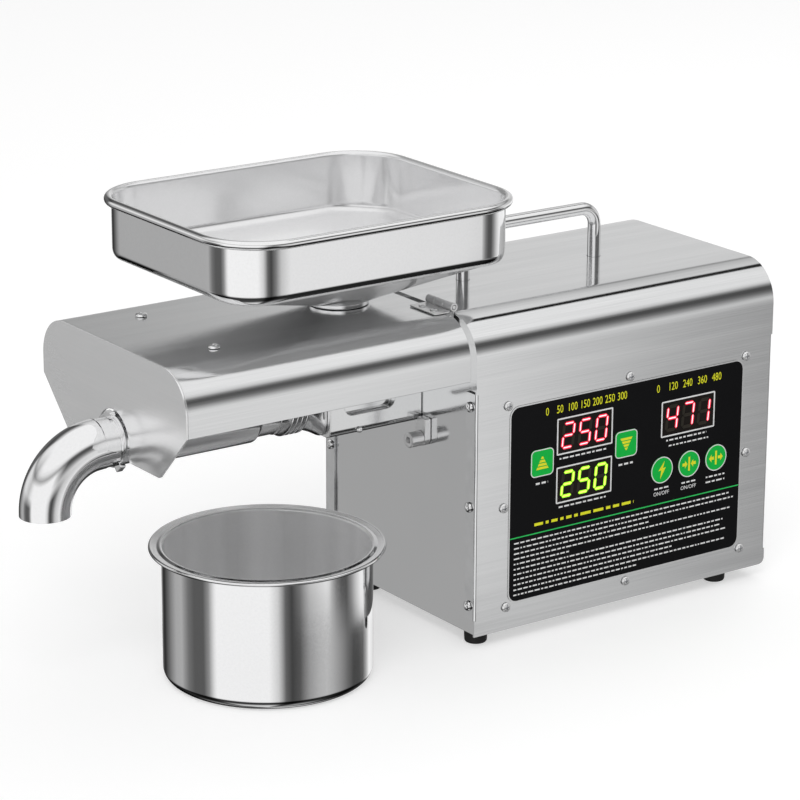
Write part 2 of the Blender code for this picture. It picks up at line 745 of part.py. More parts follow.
def carry_handle():
    top = HOUSING_TOP + HANDLE_RISE
    low = HOUSING_TOP - HANDLE_TAIL
    rear = HANDLE_FRONT + HANDLE_SPAN
    path = [(HANDLE_FRONT, low)]
    path += arc((HANDLE_FRONT + HANDLE_BEND, top - HANDLE_BEND), HANDLE_BEND, 180, 90, 5)
    path += arc((rear - HANDLE_BEND, top - HANDLE_BEND), HANDLE_BEND, 90, 0, 5)
    path.append((rear, low))
    piece("carry_handle", loft(bent_loops(path, 0, HANDLE_ROD, 12)), "polished")
    nut_top = TOP_INSIDE - GAP
    for name, x in (("handle_nut_front", HANDLE_FRONT), ("handle_nut_rear", rear)):
        nut = ring("Z", (x, 0), HANDLE_ROD + NUT_WALL, HANDLE_ROD + GAP, nut_top - NUT_HEIGHT, nut_top, 12)
        piece(name, nut, "steel")


def control_panel():
    """The front panel with its displays and keys."""
    face = rounded((PANEL_MIDDLE, PANEL_CENTRE), PANEL_LENGTH / 2, PANEL_HEIGHT / 2, PANEL_CORNER)
    panel = piece("control_panel", prism(face, "Y", PANEL_FACE, PANEL_BACK), "black_gloss")
    before, behind = PANEL_FACE - SHEET, PANEL_BACK + SHEET
    cuts = []
    half_l, half_h = DISPLAY_LENGTH / 2, DISPLAY_HEIGHT / 2
    for name, x, row in (
        ("current_display", LEFT_DISPLAY_X, CURRENT_ROW),
        ("set_display", LEFT_DISPLAY_X, SET_ROW),
        ("timer_display", PRESS_X + TIMER_SHIFT, TIMER_ROW),
    ):
        middle = (x, PANEL_CENTRE + row)
        body = rounded(middle, half_l, half_h, DISPLAY_CORNER, 1)
        piece(name, prism(body, "Y", PANEL_FACE, BOARD_FRONT - GAP), "black_gloss")
        window = rounded(middle, half_l + GAP, half_h + GAP, DISPLAY_CORNER, 1)
        cuts.append(prism(window, "Y", before, behind))

    def square_key(middle, extra):
        half = KEY_SIDE / 2 + extra
        return rounded(middle, half, half, KEY_CORNER + extra, 3)

    def round_key(middle, extra):
        return circle(middle, ROUND_KEY + extra, 24)

    cap_back = PANEL_BACK + KEY_SKIRT
    stem_end = BOARD_FRONT - KEY_TRAVEL - GAP
    for name, outline, x, row in (
        ("raise_button", square_key, RAISE_X, SQUARE_KEY_ROW),
        ("lower_button", square_key, LOWER_X, SQUARE_KEY_ROW),
        ("power_button", round_key, POWER_X, ROUND_KEY_ROW),
        ("press_button", round_key, PRESS_X, ROUND_KEY_ROW),
        ("reverse_button", round_key, REVERSE_X, ROUND_KEY_ROW),
    ):
        middle = (x, PANEL_CENTRE + row)
        cap = prism(outline(middle, 0), "Y", PANEL_FACE - PANEL_PROUD, cap_back)
        key = piece(name, cap, "green", (middle[0], PANEL_FACE, middle[1]))
        add(key, rod("Y", middle, KEY_STEM, cap_back - KEY_SKIRT / 3, stem_end, 10))
        cuts.append(prism(outline(middle, GAP), "Y", before, behind))
    cut(panel, *cuts)


def panel_frame():
    """The frame behind the panel, which takes the panel's screws, and the board on its posts."""
    centre = (PANEL_MIDDLE, PANEL_CENTRE)
    half_l, half_h = PANEL_LENGTH / 2, PANEL_HEIGHT / 2
    outer = rounded(centre, half_l + FRAME_RIM, half_h + FRAME_RIM, PANEL_CORNER, 2)
    inner = rounded(centre, half_l - FRAME_LIP, half_h - FRAME_LIP, PANEL_CORNER, 2)
    sections = [(outer, FRAME_FRONT), (outer, FRAME_BACK), (inner, FRAME_BACK), (inner, FRAME_FRONT)]
    loops = [[(a, y, b) for a, b in outline] for outline, y in sections]
    frame = piece("panel_frame", loft(loops, ends=False), "steel")
    thread = (FRAME_FRONT + FRAME_BACK) / 2
    add(frame, *[screw_shape("Y", place, -SIDE - GAP, -1, thread) for place in panel_screws()])
    post_x = half_l + FRAME_LIP
    post_low = BOARD_LOW + FRAME_RIM
    post_high = PANEL_LOW + PANEL_HEIGHT - FRAME_RIM
    posts = [(PANEL_MIDDLE + a * post_x, z) for a in (-1, 1) for z in (post_low, post_high)]
    foot, tip = FRAME_BACK - SHEET / 2, BOARD_FRONT - GAP
    add(frame, *[rod("Y", post, BOARD_POST, foot, tip, 8) for post in posts])

    edge = post_x + BOARD_POST
    back = BOARD_FRONT + BOARD_THICKNESS
    low = (PANEL_MIDDLE - edge, BOARD_FRONT, BOARD_LOW)
    board = piece("control_board", box(low, (PANEL_MIDDLE + edge, back, PANEL_LOW + PANEL_HEIGHT)), "board")
    parts = []
    places = ((-half_l / 2, HEAT_SINK), (0, TRANSFORMER), (half_l / 2, TRANSFORMER))
    for x, (length, width, height) in places:
        middle = PANEL_MIDDLE + x
        z = BOARD_LOW + width
        low = (middle - length / 2, back - BOARD_THICKNESS / 2, z - width / 2)
        parts.append(box(low, (middle + length / 2, back + height / 3, z + width / 2)))
    add(board, *parts)


def hood():
    """The hood, its end plate and screws, all turning on the hinge axis."""
    pivot = (0, 0, HINGE_HEIGHT)
    front = -HOOD_REACH
    plate_back = front + SHEET
    section = shell_section(HOOD_WIDTH, HOUSING_TOP, SKIRT_LOW, HOOD_EDGE_RADIUS)
    shell = piece("hood_shell", prism(section, "X", plate_back + GAP, -HOOD_SEAM), "brushed", pivot)
    screw_x = front + HOOD_SCREW_FROM_FRONT
    screws = [(screw_x, -SIDE / 2), (screw_x, SIDE / 2)]
    below, above = HOUSING_TOP - 2 * SHEET, HOUSING_TOP + SHEET
    cuts = [rod("Z", place, SCREW_SHANK + GAP, below, above, 8) for place in screws]
    cuts.append(rod("Z", (THROAT_X, 0), NECK_RADIUS, below, above, 32))
    cut(shell, *cuts)
    for name, place in zip(("hood_screw_near", "hood_screw_far"), screws):
        screw = screw_shape("Z", place, HOUSING_TOP + GAP, 1, HOUSING_TOP - SCREW_LENGTH)
        piece(name, screw, "chrome", pivot)

    half = HOOD_WIDTH / 2
    lean = math.degrees(math.atan2(half - END_PLATE_HALF, SKIRT_LOW - END_PLATE_LOW))
    corner = END_PLATE_CORNER
    corner_z = END_PLATE_LOW + corner
    corner_y = END_PLATE_HALF - corner * math.tan(math.radians((90 - lean) / 2))
    notch = COLLAR_RADIUS + NOTCH_CLEARANCE
    outline = arch(HOOD_WIDTH, HOUSING_TOP, SKIRT_LOW, HOOD_EDGE_RADIUS)
    outline += arc((-corner_y, corner_z), corner, 180 + lean, 270, 3)
    outline.append((-notch, END_PLATE_LOW))
    outline += arc((0, AXIS_HEIGHT), notch, 180, 0, 12)
    outline.append((notch, END_PLATE_LOW))
    outline += arc((corner_y, corner_z), corner, 270, 360 - lean, 3)
    piece("hood_end_plate", prism(outline, "X", front, plate_back), "polished", pivot)


def hinge(name, middle):
    """A butt hinge between the housing's front edge and the hood. The pin is fixed in the housing leaf."""
    axis = (0, HINGE_HEIGHT)
    low = middle - HINGE_LENGTH / 2
    high = low + HINGE_LENGTH
    third = HINGE_LENGTH / 3
    knuckle_low, knuckle_high = low + third + GAP, high - third - GAP
    front, back = -GAP - HINGE_SHEET, -GAP
    under_barrel = HINGE_HEIGHT - HINGE_BARREL
    leaf = box((front, low, HOUSING_TOP - HINGE_LEAF_DROP), (back, high, under_barrel - GAP))
    fixed = piece(f"hinge_fixed_{name}", leaf, "polished")
    tab_low = (front + GAP, low + GAP, HOUSING_TOP - HINGE_TAB_DROP)
    add(fixed, box(tab_low, (PLATE_FRONT - GAP, high - GAP, TOP_INSIDE - SHEET)))
    web_low = (front, knuckle_low, under_barrel - 2 * SHEET)
    add(fixed, box(web_low, (back, knuckle_high, HINGE_HEIGHT - GAP)))
    add(fixed, ring("Y", axis, HINGE_BARREL, HINGE_PIN / 2, knuckle_low, knuckle_high, 12))
    add(fixed, rod("Y", axis, HINGE_PIN, low, high, 8))

    seat = HOUSING_TOP + GAP
    top = seat + HINGE_SHEET
    plate = box((-HINGE_LEAF, low, seat), (-HINGE_BARREL - GAP, high, top))
    moving = piece(f"hinge_leaf_{name}", plate, "polished", (0, 0, HINGE_HEIGHT))
    for start in (low, high - third):
        inner_edge = -HINGE_PIN - 2 * GAP
        add(moving, box((-HINGE_BARREL - 2 * GAP, start, seat), (inner_edge, start + third, top)))
        add(moving, ring("Y", axis, HINGE_BARREL, HINGE_PIN + GAP, start, start + third, 12))
    heads = [low + HINGE_LENGTH * share for share in (HINGE_SCREW_SHARE, 1 - HINGE_SCREW_SHARE)]
    head_x = -HINGE_LEAF + HINGE_SCREW_FROM_EDGE
    head_low, head_high = seat + HINGE_SHEET / 2, top + HINGE_SCREW_HEAD
    add(moving, *[rod("Z", (head_x, y), HINGE_SCREW, head_low, head_high, 10) for y in heads])


def hinges():
    hinge("near", -HINGE_MIDDLE)
    hinge("far", HINGE_MIDDLE)


def feed_block():
    """The block under the hopper, with the press bore along it and the throat down into the bore."""
    axis = (0, AXIS_HEIGHT)
    half = BLOCK_WIDTH / 2
    rear = PLATE_FRONT - GAP
    edge = BLOCK_EDGE
    outline = arc((edge - half, BLOCK_LOW + edge), edge, 180, 270, 3)
    outline += arc((half - edge, BLOCK_LOW + edge), edge, 270, 360, 3)
    outline += [(half, BLOCK_TOP), (-half, BLOCK_TOP)]
    block = piece("feed_block", prism(outline, "X", -BLOCK_LENGTH, rear), "polished")
    slot_middle = (THROAT_X + SLOT_SHIFT, SLOT_LOW + SLOT_HEIGHT / 2)
    slot = rounded(slot_middle, SLOT_LENGTH / 2, SLOT_HEIGHT / 2, SLOT_CORNER, 3)
    bore = rod("X", axis, BORE_RADIUS, -BLOCK_LENGTH - SHEET, rear + SHEET, 24)
    throat = (THROAT_X, 0)
    cut(block, bore, prism(slot, "Y", -half - SHEET, SLOT_DEPTH - half))
    cut(block, rod("Z", throat, BORE_RADIUS - THROAT_INSET, AXIS_HEIGHT, BLOCK_TOP, 20))
    cut(block, rod("Z", throat, SPIGOT_RADIUS + GAP, SPIGOT_LOW - GAP, BLOCK_TOP + SHEET, 32))
    bolt = (THROAT_X - BLOCK_BOLT / 2, BLOCK_LOW + edge / 2)
    add(block, rod("Y", bolt, BLOCK_BOLT, -half - BLOCK_BOLT_HEAD, BLOCK_BOLT_DEPTH - half, 6))


def press_barrel():
    """The barrel with its fins and drain slots, the heater around it and the nozzle at its end."""
    axis = (0, AXIS_HEIGHT)
    face = -BLOCK_LENGTH - GAP
    fin_radius = BARREL_NECK + FIN_HEIGHT
    x = -BLOCK_LENGTH - BARREL_COLLAR
    profile = [(BORE_RADIUS, face), (BARREL_NECK + BARREL_COLLAR, face), (BARREL_NECK, x)]
    for k in range(FIN_COUNT):
        if k:
            profile.append((BARREL_NECK, x))
        profile.append((fin_radius, x - FIN_SLOPE))
        profile.append((fin_radius, x - FIN_SLOPE - FIN_WIDTH))
        profile.append((BARREL_NECK, x - 2 * FIN_SLOPE - FIN_WIDTH))
        x -= FIN_PITCH
    profile += [(BARREL_NECK, -NECK_START), (BARREL_NECK, -HEATER_START), (BARREL_TUBE, -HEATER_START)]
    profile += [(BARREL_TUBE, -BARREL_END), (BORE_RADIUS, -BARREL_END)]
    barrel = piece("press_barrel", turned("X", axis, profile, 22), "polished")
    drains = []
    spacing = (HEATER_START - NECK_START) / (DRAIN_SLOTS + 1)
    low, high = AXIS_HEIGHT - BARREL_NECK - SHEET, AXIS_HEIGHT - BORE_RADIUS + 2 * SHEET
    for k in range(DRAIN_SLOTS):
        x = -NECK_START - spacing * (k + 1)
        start, end = x - DRAIN_WIDTH / 2, x + DRAIN_WIDTH / 2
        drains.append(box((start, -DRAIN_REACH, low), (end, DRAIN_REACH, high)))
    cut(barrel, *drains)

    inner = BARREL_TUBE + GAP
    heater_front = -HEATER_START - GAP
    heater = [
        (inner, heater_front),
        (HEATER_RADIUS - HEATER_SHOULDER, heater_front),
        (HEATER_RADIUS, heater_front - HEATER_SHOULDER),
        (HEATER_RADIUS, -HEATER_END + HEATER_SHOULDER / 3),
        (HEATER_RADIUS - HEATER_SHOULDER / 3, -HEATER_END),
        (inner, -HEATER_END),
    ]
    piece("heater_sleeve", turned("X", axis, heater, 24), "polished")
    start, end = -BARREL_END - GAP, -NOZZLE_END
    nozzle = [
        (BORE_RADIUS, start),
        (NOZZLE_RADIUS, start),
        (NOZZLE_RADIUS, end),
        (NOZZLE_MOUTH, end),
        (NOZZLE_MOUTH, end + NOZZLE_LAND),
        (BORE_RADIUS, start - NOZZLE_LEAD),
    ]
    piece("cake_nozzle", turned("X", axis, nozzle, 24), "polished")


def press_screw():
    """The feed screw, from its drive end in the output shaft to its point in the nozzle."""
    axis = (0, AXIS_HEIGHT)
    count = 10
    stations = 34
    drive = circle(axis, DRIVE_SOCKET - GAP, count)
    loops = [[(x, *p) for p in drive] for x in (FRONT_AXLE + DRIVE_DEPTH, FRONT_AXLE - BORE_CLEARANCE)]
    begin = -BORE_CLEARANCE
    end = -BARREL_END + 2 * BORE_CLEARANCE
    for k in range(stations + 1):
        along = begin + (end - begin) * k / stations
        loop = []
        for n in range(count):
            turn = 2 * math.pi * n / count
            crest = max(0, math.cos(turn - 2 * math.pi * along / SCREW_PITCH)) ** 2
            radius = SCREW_CORE + (SCREW_RADIUS - SCREW_CORE) * (crest if 0 < k < stations else 0)
            loop.append((along, radius * math.cos(turn), AXIS_HEIGHT + radius * math.sin(turn)))
        loops.append(loop)
    loops.append([(-NOZZLE_END + SCREW_POINT, *p) for p in circle(axis, 0.7 * SCREW_CORE, count)])
    piece("press_screw", loft(loops), "steel", (0, 0, AXIS_HEIGHT))


def spout():
    """The collar on the nozzle and the bent spout held in it."""
    axis = (0, AXIS_HEIGHT)
    back = -NOZZLE_END - GAP
    ring_front = back - COLLAR_RING
    sleeve_front = ring_front - SLEEVE_LENGTH
    sleeve_inner = SPOUT_RADIUS + GAP
    sleeve_outer = sleeve_inner + SLEEVE_WALL
    seat = back - COLLAR_SEAT
    profile = [
        (NOZZLE_MOUTH, back),
        (COLLAR_RADIUS, back),
        (COLLAR_RADIUS, ring_front),
        (sleeve_outer, ring_front),
        (sleeve_outer, sleeve_front),
        (sleeve_inner, sleeve_front),
        (sleeve_inner, seat),
        (NOZZLE_MOUTH, seat),
    ]
    collar = piece("spout_collar", turned("X", axis, profile, 28), "polished")
    ears = []
    for turn in (EAR_ANGLE, EAR_ANGLE + math.pi):
        out = Vector((math.cos(turn), math.sin(turn)))
        across = Vector((-out.y, out.x)) * EAR_WIDTH / 2
        inner, outer = out * (COLLAR_RADIUS - SLEEVE_WALL), out * (COLLAR_RADIUS + EAR_LENGTH)
        corners = [inner - across, outer - across, outer + across, inner + across]
        outline = [(p.x, AXIS_HEIGHT + p.y) for p in corners]
        ears.append(prism(outline, "X", ring_front + COLLAR_RING / 8, back - COLLAR_RING / 8))
    add(collar, *ears)
    bend = (-SPOUT_REACH + SPOUT_BEND, AXIS_HEIGHT - SPOUT_BEND)
    path = [(-SPOUT_START, AXIS_HEIGHT)]
    path += arc(bend, SPOUT_BEND, 90, 180, 8)
    path.append((-SPOUT_REACH, SPOUT_LOW))
    outside = bent_loops(path, 0, SPOUT_RADIUS, 20)
    inside = bent_loops(path, 0, SPOUT_RADIUS - SPOUT_WALL, 20)
    piece("spout_elbow", loft(outside + inside[::-1], ends=False), "polished")


def latch_centre():
    return (-BLOCK_WIDTH / 2 - LATCH_SIDE, BLOCK_LOW - LATCH_DROP)


def latch():
    """The swinging latch beside the feed block, and the socket-head screw that it turns on."""
    centre = latch_centre()
    back = PLATE_FRONT - GAP
    front = back - LATCH_THICKNESS
    edge = centre[0] + LATCH_SIDE - GAP
    top = centre[1] + LATCH_REACH
    outline = [(min(y, edge), z) for y, z in arc(centre, LATCH_RADIUS, 180, 360, 6)]
    outline += [(edge, top - LATCH_CHAMFER), (edge - LATCH_CHAMFER, top)]
    outline += [(centre[0] - LATCH_CHAMFER / 2, top), (centre[0] - LATCH_RADIUS, top - LATCH_SLOPE)]
    lug = piece("block_latch", prism(outline, "X", front, back), "polished", (0, *centre))
    cut(lug, rod("X", centre, LATCH_SCREW + GAP, front - SHEET, back + SHEET, 12))
    head_back = front - GAP
    head_front = head_back - LATCH_SCREW_LENGTH
    head = LATCH_SCREW + LATCH_SCREW_HEAD
    bevel = LATCH_SCREW_HEAD / 5
    profile = [
        (0, head_front + LATCH_SOCKET_DEPTH),
        (LATCH_SOCKET, head_front + LATCH_SOCKET_DEPTH),
        (LATCH_SOCKET, head_front),
        (head - bevel, head_front),
        (head, head_front + bevel),
        (head, head_back),
        (LATCH_SCREW, head_back),
        (LATCH_SCREW, back),
        (0, back),
    ]
    piece("latch_screw", turned("X", centre, profile, 18), "chrome")


def hopper():
    """The tray with its rolled rim and funnel floor, and the neck that drops into the feed block."""
    half_l, half_w = TRAY_LENGTH / 2, TRAY_WIDTH / 2
    corner_steps = 5
    count = 4 * (corner_steps + 1)

    def level(inset, z):
        """The tray's rounded rectangle at a height, inset from the rim's outside."""
        corner = TRAY_CORNER - inset
        outline = rounded((TRAY_MIDDLE, 0), half_l - inset, half_w - inset, corner, corner_steps)
        return [(a, b, z) for a, b in outline]

    def neck(radius, z):
        """A circle about the neck, with its points in step with the tray's corners."""
        return [(a, b, z) for a, b in circle((THROAT_X, 0), radius, count, 180 / count)]

    under_rim = TRAY_TOP - RIM_HEIGHT
    curve = TRAY_FLOOR_RADIUS
    inner = RIM_WIDTH + TRAY_SHEET
    # How far a bend's middle point lies inside its corner, as a share of the bend's radius.
    bend = 1 - math.sqrt(0.5)
    outside = [
        level(RIM_ROLL, TRAY_TOP),
        level(0, TRAY_TOP - RIM_ROLL),
        level(0, under_rim + RIM_ROLL),
        level(RIM_ROLL, under_rim),
        level(RIM_WIDTH, under_rim),
        level(RIM_WIDTH, TRAY_FLOOR + curve),
        level(RIM_WIDTH + bend * curve, TRAY_FLOOR + bend * curve),
        level(RIM_WIDTH + curve, TRAY_FLOOR),
        neck(NECK_RADIUS, NECK_TOP - TRAY_SHEET),
    ]
    inside = [
        level(RIM_WIDTH, TRAY_TOP - TRAY_SHEET / 2),
        level(inner, TRAY_TOP - RIM_HEIGHT / 2),
        level(inner, TRAY_FLOOR + curve),
        level(inner + bend * curve, TRAY_FLOOR + bend * curve + TRAY_SHEET),
        level(inner + curve, TRAY_FLOOR + TRAY_SHEET),
        neck(NECK_RADIUS, NECK_TOP + TRAY_SHEET),
    ]
    pivot = (THROAT_X, 0, 0)
    piece("hopper_tray", loft(outside + inside[::-1], ends=False), "polished", pivot)

    tube_top = NECK_TOP - TRAY_SHEET - GAP
    lip_top = HOPPER_REST + NECK_LIP_THICKNESS
    tube = [
        neck(NECK_RADIUS, tube_top),
        neck(NECK_RADIUS, lip_top),
        neck(NECK_LIP_RADIUS, lip_top),
        neck(NECK_LIP_RADIUS, HOPPER_REST),
        neck(SPIGOT_RADIUS, HOPPER_REST),
        neck(SPIGOT_RADIUS, SPIGOT_LOW),
        neck(SPIGOT_RADIUS - TRAY_SHEET, SPIGOT_LOW),
        neck(SPIGOT_RADIUS - TRAY_SHEET, tube_top),
    ]
    piece("hopper_neck", loft(tube, ends=False), "polished", pivot)


def oil_cup():
    wall, top = CUP_SHEET, CUP_HEIGHT
    centre = CUP_RADIUS - CUP_EDGE
    outer = arc((centre, CUP_EDGE), CUP_EDGE, 270, 360, 2)
    inner = arc((centre, CUP_EDGE), CUP_EDGE - wall, 360, 270, 2)
    lip = CUP_LIP
    profile = [(0, 0), *outer]
    profile += [(CUP_RADIUS, top - lip), (CUP_RIM, top - lip), (CUP_RIM, top - lip / 2)]
    profile += [(CUP_RIM - lip / 2, top), (CUP_RADIUS, top), (CUP_RADIUS - wall, top - lip / 2)]
    profile += [*inner, (0, wall)]
    piece("oil_cup", turned("Z", (CUP_X, CUP_Y), profile, 40), "polished", (CUP_X, CUP_Y, 0))


def tip_radius(module, teeth):
    """A bore that a gear of this size passes through."""
    return module * (teeth / 2 + 1)


def gearbox():
    """The case, cover and bearings around the two gear stages."""
    output, counter, motor = (0, AXIS_HEIGHT), (COUNTER_Y, COUNTER_Z), (MOTOR_Y, MOTOR_Z)
    first, second = STAGE_MODULES
    rooms = [
        (output, tip_radius(second, GEAR_TEETH) + CASE_MARGIN),
        (counter, tip_radius(first, GEAR_TEETH) + CASE_MARGIN),
        (motor, tip_radius(first, PINION_TEETH) + CASE_MARGIN),
    ]

    def case_outline(extra):
        points = []
        for centre, radius in rooms:
            points += circle(centre, radius + extra, 24)
        return hull(points)

    cover_back = CASE_FRONT - GAP
    cavity_back = CASE_BACK - CASE_REAR
    outline = case_outline(CASE_WALL)
    cover = piece("gearbox_cover", prism(outline, "X", FRONT_AXLE, cover_back), "aluminium")
    case = piece("gearbox_case", prism(outline, "X", CASE_FRONT, CASE_BACK), "aluminium")
    cut(case, prism(case_outline(0), "X", CASE_FRONT - SHEET, cavity_back))
    stub = COUNTER_SHAFT + GAP
    front_outer = SHAFT_RADIUS + GAP + BEARING_WALL
    rear_outer = SHAFT_TAIL + GAP + REAR_BEARING_WALL
    cut(
        cover,
        rod("X", output, front_outer + GAP, FRONT_AXLE - SHEET, cover_back + SHEET, 20),
        rod("X", counter, stub, cover_back - STUB_POCKET, cover_back + SHEET, 12),
    )
    before, behind = cavity_back - SHEET, CASE_BACK + SHEET
    cut(
        case,
        rod("X", output, rear_outer + GAP, before, behind, 20),
        rod("X", counter, stub, before, cavity_back + STUB_POCKET, 12),
        rod("X", motor, tip_radius(first, PINION_TEETH) + GAP, before, behind, 16),
    )
    front_ring = ring("X", output, front_outer, SHAFT_RADIUS + GAP, FRONT_AXLE, cover_back, 20)
    piece("bearing_front", front_ring, "steel")
    rear_ring = ring("X", output, rear_outer, SHAFT_TAIL + GAP, cavity_back, CASE_BACK, 20)
    piece("bearing_rear", rear_ring, "steel")


def gear_train():
    """The output shaft and gear, the counter gear and the motor's rotor with its pinion."""
    output, counter, motor = (0, AXIS_HEIGHT), (COUNTER_Y, COUNTER_Z), (MOTOR_Y, MOTOR_Z)
    first, second = STAGE_MODULES
    cavity_back = CASE_BACK - CASE_REAR
    gear_low = CASE_FRONT + ROTOR_INSET
    gear_high = gear_low + GEAR_WIDTHS[1]
    socket_end = FRONT_AXLE + DRIVE_DEPTH + BORE_CLEARANCE
    shaft_end = CASE_BACK - GAP
    shaft = [
        (0, socket_end),
        (DRIVE_SOCKET, socket_end),
        (DRIVE_SOCKET, FRONT_AXLE),
        (SHAFT_RADIUS, FRONT_AXLE),
        (SHAFT_RADIUS, gear_high + GAP),
        (SHAFT_RADIUS + SHAFT_COLLAR, gear_high + GAP),
        (SHAFT_RADIUS + SHAFT_COLLAR, gear_high + SHAFT_COLLAR),
        (SHAFT_TAIL, gear_high + SHAFT_COLLAR),
        (SHAFT_TAIL, shaft_end),
        (0, shaft_end),
    ]
    piece("output_shaft", turned("X", output, shaft, 20), "steel", (0, *output))

    # A tooth of each pinion points at its gear, and meets a space there.
    towards_output = math.atan2(AXIS_HEIGHT - COUNTER_Z, -COUNTER_Y)
    towards_counter = math.atan2(COUNTER_Z - MOTOR_Z, COUNTER_Y - MOTOR_Y)
    space = math.pi / GEAR_TEETH
    wheel = gear_outline(output, second, GEAR_TEETH, towards_output + math.pi + space)
    gear = piece("output_gear", prism(wheel, "X", gear_low, gear_high), "steel", (0, *output))
    cut(gear, rod("X", output, SHAFT_RADIUS + GAP, gear_low - SHEET, gear_high + SHEET, 20))

    wheel_low = gear_high + 2 * GEAR_SPACE
    wheel_high = wheel_low + GEAR_WIDTHS[0]
    wheel = gear_outline(counter, first, GEAR_TEETH, towards_counter + math.pi + space)
    pair = piece("counter_gear", prism(wheel, "X", wheel_low, wheel_high), "steel", (0, *counter))
    pinion = gear_outline(counter, second, PINION_TEETH, towards_output, 3)
    add(pair, prism(pinion, "X", gear_low - GEAR_SPACE / 2, wheel_low + GEAR_SPACE / 2))
    stub_low = CASE_FRONT - STUB_POCKET
    add(pair, rod("X", counter, COUNTER_SHAFT, stub_low, cavity_back + STUB_POCKET - GAP, 12))

    pinion = gear_outline(motor, first, PINION_TEETH, towards_counter, 3)
    pinion_low = wheel_low - GEAR_SPACE / 2
    pinion_shape = prism(pinion, "X", pinion_low, wheel_high + GEAR_SPACE)
    rotor = piece("motor_rotor", pinion_shape, "steel", (0, *motor))
    motor_start = CASE_BACK + GAP
    motor_end = motor_start + MOTOR_LENGTH
    core_low = motor_start + MAGNET_FRONT + ROTOR_INSET
    core_high = motor_end - MAGNET_REAR - ROTOR_INSET
    core = MOTOR_RADIUS - MOTOR_WALL - GAP - MAGNET_THICKNESS - ROTOR_GAP
    fan_high = motor_end + GAP + MOTOR_CAP + MOTOR_FAN_SPACE + MOTOR_FAN_WIDTH
    profile = [
        (0, pinion_low + GEAR_SPACE),
        (ROTOR_SHAFT, pinion_low + GEAR_SPACE),
        (ROTOR_SHAFT, core_low),
        (core, core_low),
        (core, core_high),
        (core / 2, core_high),
        (core / 2, core_high + COMMUTATOR),
        (ROTOR_SHAFT, core_high + COMMUTATOR),
        (ROTOR_SHAFT, fan_high),
        (0, fan_high),
    ]
    add(rotor, turned("X", motor, profile, 20))


def motor():
    """The motor's can, magnets, end cap and fan, behind the gearbox."""
    centre = (MOTOR_Y, MOTOR_Z)
    inner = MOTOR_RADIUS - MOTOR_WALL
    start = CASE_BACK + GAP
    end = start + MOTOR_LENGTH
    opening = tip_radius(STAGE_MODULES[0], PINION_TEETH) + GAP
    can = [
        (opening, start),
        (MOTOR_RADIUS, start),
        (MOTOR_RADIUS, end),
        (inner, end),
        (inner, start + MOTOR_WALL),
        (opening, start + MOTOR_WALL),
    ]
    piece("motor_can", turned("X", centre, can, 24), "black_plastic")
    magnet_outer = inner - GAP
    magnet_inner = magnet_outer - MAGNET_THICKNESS
    magnets = ring("X", centre, magnet_outer, magnet_inner, start + MAGNET_FRONT, end - MAGNET_REAR, 24)
    piece("motor_magnets", magnets, "steel")
    cap_low = end + GAP
    cap_high = cap_low + MOTOR_CAP
    disc = ring("X", centre, MOTOR_RADIUS, ROTOR_SHAFT + GAP, cap_low, cap_high, 24)
    cap = piece("motor_end_cap", disc, "aluminium")
    vents = circle(centre, (inner + ROTOR_SHAFT) / 2, 4, 45)
    cut(cap, *[rod("X", place, MOTOR_VENT, cap_low - SHEET, cap_high + SHEET, 10) for place in vents])
    fan_low = cap_high + MOTOR_FAN_SPACE
    fan_high = fan_low + MOTOR_FAN_WIDTH
    outline = blades(centre, MOTOR_FAN_HUB, MOTOR_FAN_RADIUS)
    fan = piece("motor_fan", prism(outline, "X", fan_low, fan_high), "black_plastic", (0, *centre))
    cut(fan, rod("X", centre, ROTOR_SHAFT + GAP, fan_low - SHEET, fan_high + SHEET, 12))


def blades(centre, hub, tip):
    """The outline of a fan with straight blades."""
    outline = []
    for k in range(BLADES):
        start = 2 * math.pi * k / BLADES
        for radius, share in ((hub, 0.0), (tip, 0.05), (tip, 0.30), (hub, 0.45)):
            angle = start + 2 * math.pi / BLADES * share
            outline.append((centre[0] + radius * math.cos(angle), centre[1] + radius * math.sin(angle)))
    return outline


def cooling_fan():
    """The fan behind the rear panel's grille, on a pin that a spoke of its frame holds."""
    centre = (0, FAN_HEIGHT)
    back = REAR_INSIDE - GAP
    front = back - FAN_DEPTH
    spoke_back = front + FAN_SPOKE
    half = FAN_SIDE / 2
    square = rounded(centre, half, half, FAN_CORNER, 2)
    frame = piece("fan_frame", prism(square, "X", front, back), "black_plastic")
    cut(frame, rod("X", centre, FAN_BORE, front - SHEET, back + SHEET, 32))
    spoke = half - FAN_EDGE / 2
    add(frame, box((front, -spoke, FAN_HEIGHT - FAN_SPOKE), (spoke_back, spoke, FAN_HEIGHT + FAN_SPOKE)))
    add(frame, rod("X", centre, FAN_HUB, front, spoke_back, 20))
    add(frame, rod("X", centre, FAN_PIN, front + FAN_SPOKE / 2, back - 2 * FAN_SPOKE, 8))
    rotor_low = spoke_back + FAN_SPACE
    outline = blades(centre, FAN_HUB, FAN_BORE - FAN_PIN)
    wheel = prism(outline, "X", rotor_low, back - FAN_SPOKE)
    rotor = piece("fan_rotor", wheel, "black_plastic", (0, *centre))
    cut(rotor, rod("X", centre, FAN_PIN + GAP, rotor_low - SHEET, back - 2 * FAN_SPOKE + FAN_SPACE, 8))


